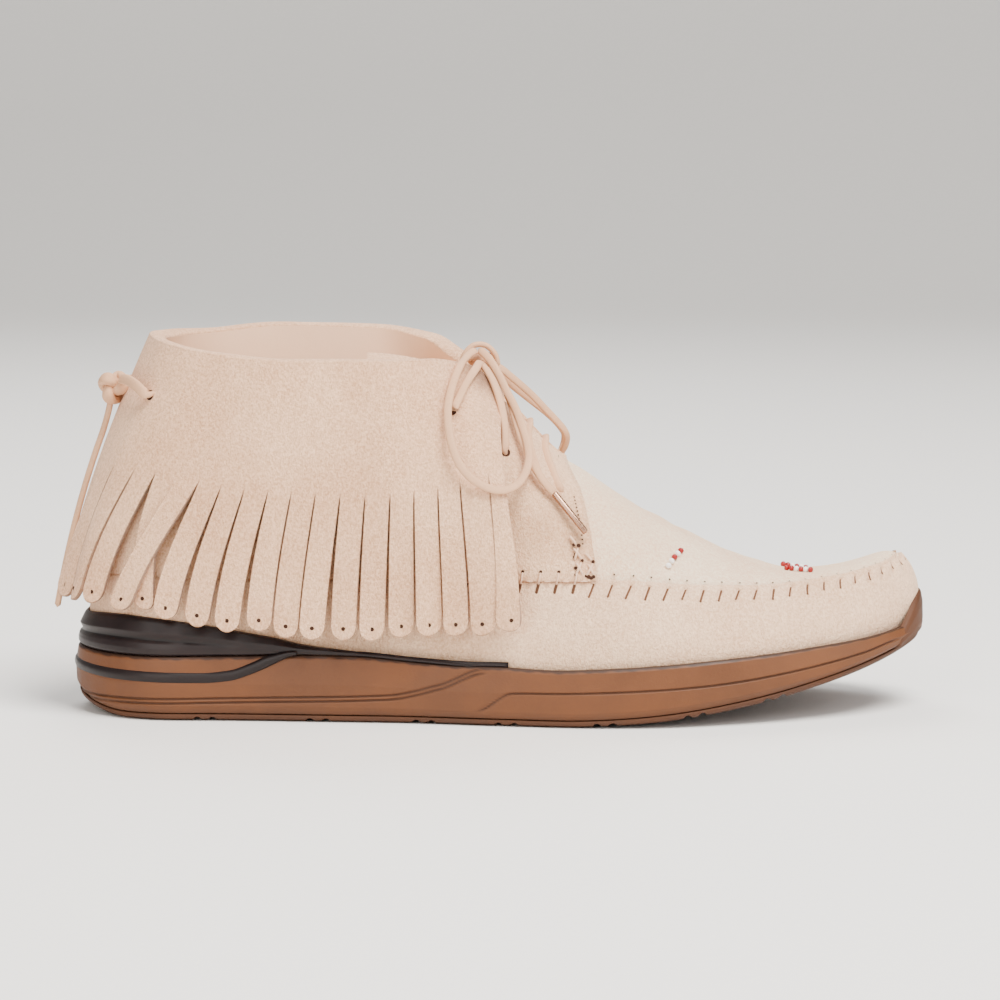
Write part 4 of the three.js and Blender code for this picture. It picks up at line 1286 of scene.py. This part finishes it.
# A dark disc of painted shade, standing for the inside of a hole.
def add_hole_shade(bm, centre, normal, radius):
    matrix = Vector(normal).to_track_quat("Z", "Y").to_matrix().to_4x4()
    matrix.translation = to_frame(centre)
    bmesh.ops.create_circle(bm, cap_ends=True, segments=12, radius=radius * MM, matrix=matrix)


def below_seam(place, below, lift):
    turn, s = np.array([turn_at(place)]), np.array([1 - below / WALL_HEIGHT])
    return lifted(wall, turn, s, wall_lift(turn, s) + lift)[0]


def above_seam(place, above, lift):
    turn = np.array([turn_at(place)])
    return lifted(body, turn, above / (3 * HANDLE * chord(turn)), lift)[0]


def outward(point_of, place, distance):
    """The direction off the surface at a place beside the seam."""
    return unit(point_of(place, distance, 1.0) - point_of(place, distance, 0.0))


def add_slit(bm, point_of, stops, width, tone=0.4):
    """A dark slit of painted shade where thread pulls the hide in, through stops of place and distance from
    the seam.
    """
    lifts = np.linspace(0.3, 0.02, len(stops))
    line = smooth_line([point_of(*stop, lift) for stop, lift in zip(stops, lifts)], 0.4)
    add_strap(bm, line, width, 0.35, outward(point_of, *stops[1]), sides=8, tone=tone)


GATHER_THREAD, WHIP_THREAD, DASH_THREAD, TACK_THREAD = 0.3, 0.35, 0.28, 0.42
STRIP_HOLE, FINE_HOLE, WHIP_HOLE = 0.72, 0.32, 0.55
thread_mesh, hole_shade_mesh = bmesh.new(), bmesh.new()
for near, far in strip_holes:
    add_hole_shade(hole_shade_mesh, near, far - near, STRIP_HOLE)
toe_place = (gather_start + gather_end) / 2
for place in gather_places:
    toe_ward = 1 if place < toe_place else -1
    size = min(1.0, 0.55 + abs(place - toe_place) / 110) * dice.uniform(0.9, 1.1)
    lean = GATHER_SLANT * toe_ward * min(1.0, abs(place - toe_place) / 70) * dice.uniform(0.8, 1.2)
    stops = [(place + 0.3 * lean, 0.3), (place - 0.2 * lean, 2.2 * size), (place - 1.0 * lean, 5.0 * size)]
    add_slit(hole_shade_mesh, below_seam, stops, 0.8 * size)
    beside = [below_seam(at - 0.6 * toe_ward, distance * 0.92, 0.06) for at, distance in stops]
    add_thread(thread_mesh, beside, GATHER_THREAD)
    hole = place + 0.7 * lean
    add_hole_shade(hole_shade_mesh, above_seam(hole, 2.6, 0.1), outward(above_seam, hole, 2.6), FINE_HOLE)
print("gather threads:", len(gather_places))

# %% Straight stitches of the waist
WHIP_PITCH = 6.05
whip_ends = seam_lengths(np.array([turn_of(0.42), turn_of(0.598)]))
whip_places = np.arange(whip_ends[1] - 3.9, whip_ends[0], -WHIP_PITCH)
whole = gather_start + gather_end
for place in np.concatenate([whip_places, whole - whip_places]):
    toe_ward = 1 if place < toe_place else -1
    top = above_seam(place + 0.5 * toe_ward, 2.7, QUARTER_OUT + 0.1)
    middle = above_seam(place + 0.1 * toe_ward, 0.3, QUARTER_OUT + 0.35)
    low = below_seam(place - 0.2 * toe_ward, 0.6, 0.2)
    end = below_seam(place - 0.3 * toe_ward, 1.4, -0.3)
    start = above_seam(place + 0.5 * toe_ward, 3.1, QUARTER_OUT - 0.4)
    add_thread(thread_mesh, [start, top, middle, low, end], WHIP_THREAD)
    hole = place + 0.6 * toe_ward
    add_hole_shade(hole_shade_mesh, above_seam(hole, 3.3, QUARTER_OUT + 0.1), outward(above_seam, hole, 3.3), WHIP_HOLE)
    stops = [(place - step * toe_ward, distance) for step, distance in ((0.1, 0.5), (0.5, 2.0), (0.9, 3.5))]
    add_slit(hole_shade_mesh, below_seam, stops, 1.0, tone=0.25)
    dash = [above_seam(place + toe_ward * step, 0.1, QUARTER_OUT + 0.2) for step in (1.6, 2.9, 4.2)]
    add_thread(thread_mesh, dash, DASH_THREAD)
print("straight stitches on each side:", len(whip_places))

# %% Tacks and pinholes of the quarters
TACKS = [
    ((0.8, 2.0), (2.6, 6.0)), ((3.4, 1.8), (0.8, 6.4)), ((4.4, 2.2), (6.6, 6.6)), ((7.0, 2.0), (4.6, 6.8)),
    ((4.4, 7.4), (6.8, 11.6)), ((7.0, 7.2), (5.2, 11.8)), ((5.6, 12.6), (7.4, 16.0)),
    ((1.0, 7.0), (3.2, 9.8)),
]
TACK_HOLES = [
    (0.9, 1.6), (1.7, 1.2), (2.6, 1.6), (3.4, 1.9), (0.8, 6.8), (6.8, 2.4), (6.9, 4.6), (6.8, 8.4),
    (6.5, 9.2), (6.6, 12.6), (4.4, 7.2), (4.9, 12.4),
]
corner_place = seam_lengths(np.array([quarter_edge(0.0)]))[0]


def on_quarter(mirror, back, up, lift):
    """A place on the quarter, measured back and up from its lower front corner."""
    place = corner_place - back
    return above_seam(whole - place if mirror else place, up, QUARTER_OUT + lift)


for mirror in (False, True):
    for first, last in TACKS:
        middle = [(a + b) / 2 for a, b in zip(first, last)]
        lifts = (-0.4, 0.4, -0.4)
        ends = [on_quarter(mirror, *spot, lift) for spot, lift in zip((first, middle, last), lifts)]
        add_thread(thread_mesh, ends, TACK_THREAD)
    for spot in TACK_HOLES:
        near, far = on_quarter(mirror, *spot, 0.12), on_quarter(mirror, *spot, 1.0)
        add_hole_shade(hole_shade_mesh, near, far - near, dice.uniform(0.4, 0.75))
    for share in np.linspace(0.2, 0.92, 30):
        turn = np.array([quarter_edge(share) - 0.008])
        turn = 2 - turn if mirror else turn
        near, far = lifted(body, turn, share, QUARTER_OUT + 0.1)[0], lifted(body, turn, share, 3.0)[0]
        add_hole_shade(hole_shade_mesh, near, far - near, FINE_HOLE)
add_piece("seam_threads", thread_mesh, THREAD, ["upper"])

# %% [markdown]
# ## Eyelets
# The strands of the bow and the heel thong go through plain holes in the cuff. A search over the cuff finds
# the spot nearest each strand's end, and a dark disc of painted shade there stands for the hole.


# %% Eyelets
def nearest_spot(surface, point, turns, shares):
    """The place on a surface nearest a point, and the direction off the surface there."""
    turn, share = (grid.ravel() for grid in np.meshgrid(turns, shares))
    away = np.linalg.norm(surface(np.mod(turn, 2), share) - point, axis=1)
    best = away.argmin()
    turn, share = turn[best:best + 1], share[best:best + 1]
    near, far = lifted(surface, turn, share, 0.12)[0], lifted(surface, turn, share, 1.0)[0]
    return near, far - near


front_turns, heel_turns = np.linspace(0.4, 0.56, 90), np.linspace(-0.3, 0.3, 200)
for surface, point, turns, radius in (
    (cuff, COLLAR_STRAND[1], front_turns, 1.7),
    (lambda turn, s: lifted(body, turn, s, QUARTER_OUT), EYELET_STRAND[1], front_turns, 1.9),
    (cuff, THONG_LATERAL[1], heel_turns, 1.8),
    (cuff, THONG_MEDIAL[1], heel_turns, 1.8),
):
    spot, off = nearest_spot(surface, np.array(point), turns, np.linspace(0.5, 1, 80))
    add_hole_shade(hole_shade_mesh, spot, off, radius)
    print("eyelet at", spot.round(1), "mm")
add_piece("needle_hole_shade", hole_shade_mesh, HOLE_SHADE, ["upper"])

# %% [markdown]
# ## Lace bars
# Below the bow the lace crosses the throat twice. Each crossing is drawn tight over the edges of the quarters
# and runs down to an eyelet on either side.

# %% Lace bars
BAR_LOW = 0.52
for name, along, extra, node in (
    ("lace_crossing_high", 0.567, 0.0, "lace_bar_middle"),
    ("lace_crossing_low", 0.588, 0.3, "lace_bar_low"),
):
    shares = np.array([BAR_LOW - 0.02, BAR_LOW, *np.linspace(BAR_LOW + 0.04, 1.0, 8)])
    lifts = QUARTER_OUT + np.array([-1.4, 0.2] + [0.0] * 8) + extra
    lateral, medial = (lifted(body, turn, shares, lifts) for turn in (turn_of(along), 2 - turn_of(along)))
    crown = (lateral[-1:] + medial[-1:]) / 2 + (0, 0, 0.1)
    line = smooth_line(np.concatenate([lateral, crown, medial[::-1]]), LACE_STEP)
    facing = unit(np.cross(unit(np.gradient(line, axis=0)), (1.0, 0.0, 0.4))) * -1
    add_lace(name, line, LACE_WIDTH, LACE_THICK, facing, node)

# %% [markdown]
# ## Midsole
# The foam wedge is moulded with a raised rim round the upper and a thin pair of lines along its side. The
# grid runs round the sole, and its rows follow the section from the rim down to the outsole.

# %% Midsole
FOAM_GRID = (680, 110)
TREAD = 2.4


def underside(x):
    return np.maximum(0, 1 - x / 20) ** 2 * 5 + np.maximum(0, x - 163) ** 2 / (2 * 352)


def foam_low(x):
    return underside(x) + TREAD + GAP


FOAM_RAISE = table(
    "along z",
    (0, 2.6), (0.08, 2.4), (0.2, 3), (0.27, 3.7), (0.33, 3.6), (0.4, 2), (0.45, 1.2), (0.5, 1), (0.58, 0),
    (1, 0),
)
HEEL_LINE = table("along z", (0, 6.4), (0.1, 6.8), (0.25, 7.8), (0.37, 9), (0.43, 13), (0.484, 18.8))
TOE_LINE = table(
    "along z",
    (0.47, 5), (0.515, 11.6), (0.57, 11.9), (0.735, 14.2), (0.85, 18.4), (0.92, 22.3), (0.97, 25.6),
)
LINE_HALF, LINE_DEPTH, LINE_APART = 0.4, 0.6, 1.5
sole_turns = even_turns(plan_point, 0, 2, FOAM_GRID[0])[0]


def foam_top(x):
    return rim(x) + read(FOAM_RAISE, "z", x / LENGTH)


def groove(x, z):
    """How deep the moulded lines are at a place on the side, 0 to 1."""
    along = x / LENGTH
    deep = np.zeros(np.shape(x))
    for line, first, last, offsets in (
        (HEEL_LINE, -1.0, 0.485, (-LINE_APART / 2, LINE_APART / 2)),
        (TOE_LINE, 0.47, 0.97, (0.0,)),
    ):
        inside = clamp((along - first) / 0.012) * clamp((last - along) / 0.012)
        for offset in offsets:
            away = z - read(line, "z", along) - offset
            deep = np.maximum(deep, bell(away, LINE_HALF, 4) * inside)
    return deep


SECTION_V = np.array([0, 0.04, 0.1, 0.13, 0.5, 0.86, 0.92, 1])
SECTION_OUT = np.array([-6, -3.8, -1.4, -0.6, 0.3, 0, -1.2, -18])
SECTION_RISE = np.array([1, 1, 1, 0.94, 0.52, 0.14, 0, 0])
RIM_SHARE = 0.12


def foam_height(v):
    share = np.interp(v, SECTION_V, SECTION_RISE)
    dish = np.interp(v, [0, 0.04, 0.05], [DISH, 0.3, 0])
    return lambda x: foam_low(x) + (foam_top(x) - foam_low(x)) * share - dish


def foam_side(u, v, depth=0.0):
    """The foam's surface with its lines cut to a depth."""
    out = np.interp(v, SECTION_V, SECTION_OUT)
    return ring_point(spread(sole_turns, u), out - depth, foam_height(v))


def foam_lines(u, v):
    flat = foam_side(u, v)
    return groove(flat[:, 0], flat[:, 2]) * (v > RIM_SHARE)


def foam_place(u, v):
    return foam_side(u, v, LINE_DEPTH * foam_lines(u, v))


def foam_shade(u, v):
    # Painted shade: in the moulded lines, along the gap under the upper's edge, and towards the lower edge.
    x = foam_side(u, v)[:, 0]
    ragged = 0.008 * np.sin(x * 0.9) * np.sin(x * 0.37)
    gap_shade = 0.85 * clamp((0.128 + ragged - v) / 0.012)
    low_edge_shade = 0.45 * clamp((v - 0.88) / 0.05)
    return np.maximum(np.maximum(0.5 * foam_lines(u, v), gap_shade), low_edge_shade)


add_panel("foam_midsole", FOAM_GRID, foam_place, foam_shade, FOAM, "midsole", flip=True)

# %% [markdown]
# ## Heel stabiliser
# A hard cup clips round the back of the foam and sends a thin arm along each side. Below it a second band
# curves round the heel and rises to meet the arm, and a wedge of foam shows between them.

# %% Heel stabiliser
CUP = table(
    "along z",
    (0, 33.5), (0.05, 35.4), (0.1, 34.6), (0.23, 29), (0.272, 26.4), (0.325, 24.7), (0.4, 22.6),
    (0.455, 21.2), (0.508, 19.2),
)
CUP_END, CUP_TAIL, CUP_THICK = turn_of(0.508), 0.3, 1.5
BAND = table(
    "along z",
    (0, 16), (0.05, 15.2), (0.155, 14.8), (0.187, 15.7), (0.212, 18.2), (0.235, 21.2), (0.265, 23.8),
)
BAND_END, BAND_HALF = turn_of(0.265), 2.1
CUP_GRID, BAND_GRID = (320, 40), (260, 16)


def cup_back(along):
    """One round the back of the heel, where the cup has its groove, falling to nothing along the side."""
    return clamp(clamp(1 - along / 0.2) * 2.2)


def cup_place(u, v):
    turn = round_heel(CUP_END, u)
    along = share_of(turn)
    level = np.interp(
        v, [0, 0.06, 0.2, 0.34, 0.42, 0.5, 0.62, 0.9, 0.97, 1],
        [-1.6, -0.7, -0.7, -1.1, -2.1, -2, -1.3, -2.8, -3.4, -4.2],
    )
    plain = np.interp(v, [0, 0.06, 0.3, 0.6, 0.94, 1], [-1.6, -0.7, -0.4, -0.5, -1.7, -3.2])
    height = read(CUP, "z", along)
    tall = np.maximum(height - foam_top(along * LENGTH) - GAP, CUP_TAIL)
    plain = -0.9 + (plain + 0.9) * np.clip(tall / 3, 0.05, 1)
    out = plain + (level - plain) * cup_back(along) - 1.6 * clamp((along - 0.465) / 0.045)
    return ring_point(turn, out, lambda x: foam_top(x) + GAP + tall * v)


def cup_shade(u, v):
    # Painted shade in the groove round the back of the cup.
    return 0.7 * bell(v - 0.43, 0.045) * cup_back(share_of(round_heel(CUP_END, u)))


heel_cup = add_panel("heel_cup", CUP_GRID, cup_place, cup_shade, GLOSS, "heel_stabiliser")
thicken(heel_cup, CUP_THICK, edge=0)


def band_ring(u, v):
    turn = round_heel(BAND_END, u)
    along = share_of(turn)
    slim = np.clip((0.29 - along) / 0.06, 0.35, 1)
    angle = np.pi * v
    out = -1.2 + 1.9 * np.sin(angle) ** 0.7
    return ring_point(turn, out, read(BAND, "z", along) - BAND_HALF * slim * np.cos(angle))


def band_shade(u, v):
    # Painted shade: darker all over, and most at the band's upper and lower edges.
    return 0.3 + 0.5 * np.abs(np.cos(np.pi * v)) ** 8


add_panel("heel_band", BAND_GRID, band_ring, band_shade, GLOSS, "heel_stabiliser")

# %% [markdown]
# ## Outsole
# A thin sheet of rubber covers the underside. Pairs of grooves run across it so that the sole bends, and at
# the toe the rubber turns up as a bumper. The grid runs round the edge and closes along a middle line below.

# %% Outsole
FLEX_MIDDLES = (46, 84.5, 120.3, 148.2, 181.3, 211.5, 238.7)
FLEX_APART, FLEX_WIDE, FLEX_DEEP = 5.2, 2.0, 1.5


def flex_depth(x):
    deep = np.zeros(np.shape(x))
    for middle in FLEX_MIDDLES:
        for offset in (-FLEX_APART / 2, FLEX_APART / 2):
            away = np.abs(x - middle - offset)
            deep = np.maximum(deep, clamp((FLEX_WIDE / 2 + 0.35 - away) / 0.7))
    return deep * FLEX_DEEP


TREAD_V = np.array([0, 0.12, 0.2, 0.3, 0.38, 0.6, 1])
TREAD_OUT = np.array([-8, -1.3, -1.0, -1.5, -4, -18, -18])
TREAD_RISE = np.array([TREAD, TREAD, 2.1, 0.9, 0, 0, 0])
TREAD_GRID = (800, 24)
tread_turns = even_turns(plan_point, 0, 2, TREAD_GRID[0])[0]


def tread_place(u, v):
    points = ring_point(spread(tread_turns, u), np.interp(v, TREAD_V, TREAD_OUT), 0.0)
    inward = clamp((v - 0.6) / 0.4)
    points[:, 1] += (read(PLAN, "swing", points[:, 0] / LENGTH) - points[:, 1]) * inward
    under = clamp((v - 0.18) / 0.06)
    points[:, 2] = underside(points[:, 0]) + np.interp(v, TREAD_V, TREAD_RISE)
    points[:, 2] = np.maximum(points[:, 2], underside(points[:, 0]) + flex_depth(points[:, 0]) * under)
    return points


add_panel("rubber_outsole", TREAD_GRID, tread_place, None, RUBBER, "outsole", flip=True)

# %% Toe bumper
BUMPER_TURN, BUMPER_HIGH, BUMPER_DROP, BUMPER_LOW = 0.12, 40.0, 16.0, 2.0
BUMPER_GRID = (90, 24)


def bumper_place(u, v):
    aside = BUMPER_TURN * (2 * u - 1)
    turn = 1 + aside
    high = BUMPER_HIGH - BUMPER_DROP * (aside / BUMPER_TURN) ** 2
    out = np.interp(v, [0, 0.06, 0.3, 0.7, 0.95, 1], [-2.0, 0.0, 0.35, 0.2, -0.5, -2.2])
    edge = clamp((BUMPER_TURN - np.abs(aside)) / 0.006)
    inward = out * edge - 2.4 * (1 - edge)
    return ring_point(
        turn, inward, lambda x: underside(x) + BUMPER_LOW + (high - underside(x) - BUMPER_LOW) * v
    )


add_panel("toe_bumper", BUMPER_GRID, bumper_place, None, RUBBER, "outsole")

# %% [markdown]
# ## Beads
# Short rows of glass beads are sewn to the vamp, white and red by turns. Each bead is a small sphere,
# flattened along its thread. Both sides of the shoe have the same rows.

# %% Beads
BEAD_ROUND, BEAD_LONG = 1.05, 1.75
BEAD_ROWS = [
    ("", (0.725, 0.33), (0.701, 0.145), (1, 0, 1, 0, 0)),
    ("_toe", (0.875, 0.52), (0.895, 0.3), (1, 1, 0, 1, 0, 1)),
]


def add_beads(name, node, middles, tones):
    """A row of beads, white where a tone is 0 and red where it is 1."""
    bm = bmesh.new()
    red = bm.verts.layers.float.new("red")
    for middle, way, tone in zip(middles, unit(np.gradient(middles, axis=0)), tones):
        made = bmesh.ops.create_uvsphere(bm, u_segments=16, v_segments=10, radius=BEAD_ROUND * MM)["verts"]
        turned = Vector(way).to_track_quat("Z", "Y").to_matrix()
        bmesh.ops.scale(bm, vec=(1, 1, BEAD_LONG / BEAD_ROUND / 2), verts=made)
        bmesh.ops.rotate(bm, cent=(0, 0, 0), matrix=turned, verts=made)
        bmesh.ops.translate(bm, vec=to_frame(middle), verts=made)
        for vert in made:
            vert[red] = tone
    add_piece(name, bm, GLASS, [node])


for where, first, last, tones in BEAD_ROWS:
    alongs, shares = np.linspace(first, last, len(tones)).T
    for side, turns in (("lateral", turn_of(alongs)), ("medial", 2 - turn_of(alongs))):
        middles = lifted(body, turns, shares, BEAD_ROUND * 0.8)
        add_beads(f"beads{where}_{side}", f"bead_row{where}_{side}", middles, tones)

# %% [markdown]
# ## Studio
# The shoe stands on a pale sweep of paper under large soft lamps: a broad one above and in front, a fill from
# the toe, and a strip behind that draws the edge of the collar.

# %% Floor and lamps
FLOOR_HALF, FLOOR_BACK, FLOOR_FLAT, FLOOR_REACH, SWEEP_ROUND = 2.5, 1.6, 3.2, 5.2, 0.8


def paper():
    finish = Finish("paper")
    grain = finish.noise(finish.coordinates(), 300.0, 2.0)
    colour = finish.mix(grain, srgb(236, 234, 231), srgb(240, 238, 235))
    return finish.shade(Base_Color=colour, Roughness=0.95)


bm = bmesh.new()
made = bmesh.ops.create_grid(bm, x_segments=2, y_segments=60, size=1.0)["verts"]
for vert in made:
    reach = (vert.co.y + 1) / 2 * FLOOR_REACH
    flat = min(reach, FLOOR_FLAT)
    bend = max(0.0, reach - FLOOR_FLAT) / SWEEP_ROUND
    turn = min(bend, math.pi / 2)
    beyond = max(0.0, bend - math.pi / 2) * SWEEP_ROUND
    back = flat - FLOOR_BACK + SWEEP_ROUND * math.sin(turn)
    vert.co = (vert.co.x * FLOOR_HALF, back, SWEEP_ROUND * (1 - math.cos(turn)) + beyond)
mesh = bpy.data.meshes.new("sweep")
bm.to_mesh(mesh)
bm.free()
mesh.shade_smooth()
mesh.materials.append(paper())
floor = bpy.data.objects.new("sweep", mesh)
bpy.context.scene.collection.objects.link(floor)


def lamp(name, place, size, watts, tint=(1.0, 1.0, 1.0)):
    data = bpy.data.lights.new(name, "AREA")
    data.size = size
    data.energy = watts
    data.color = tint
    made = bpy.data.objects.new(name, data)
    made.location = place
    made.rotation_euler = (LOOK_AT - made.location).to_track_quat("-Z", "Y").to_euler()
    bpy.context.scene.collection.objects.link(made)


WARM = (1.0, 0.965, 0.92)
lamp("key", Vector((0.45, -0.65, 1.5)), 0.9, 66, WARM)
lamp("front", Vector((-0.7, -1.3, 0.6)), 1.1, 16, WARM)
lamp("toe", Vector((1.1, -0.7, 0.6)), 0.9, 9)
lamp("rim", Vector((-0.2, 0.9, 1.1)), 0.8, 14)
world = bpy.data.worlds.new("studio")
world.use_nodes = True
backdrop = world.node_tree.nodes["Background"].inputs
backdrop["Color"].default_value = (1.0, 0.99, 0.97, 1.0)
backdrop["Strength"].default_value = 0.3
bpy.context.scene.world = world
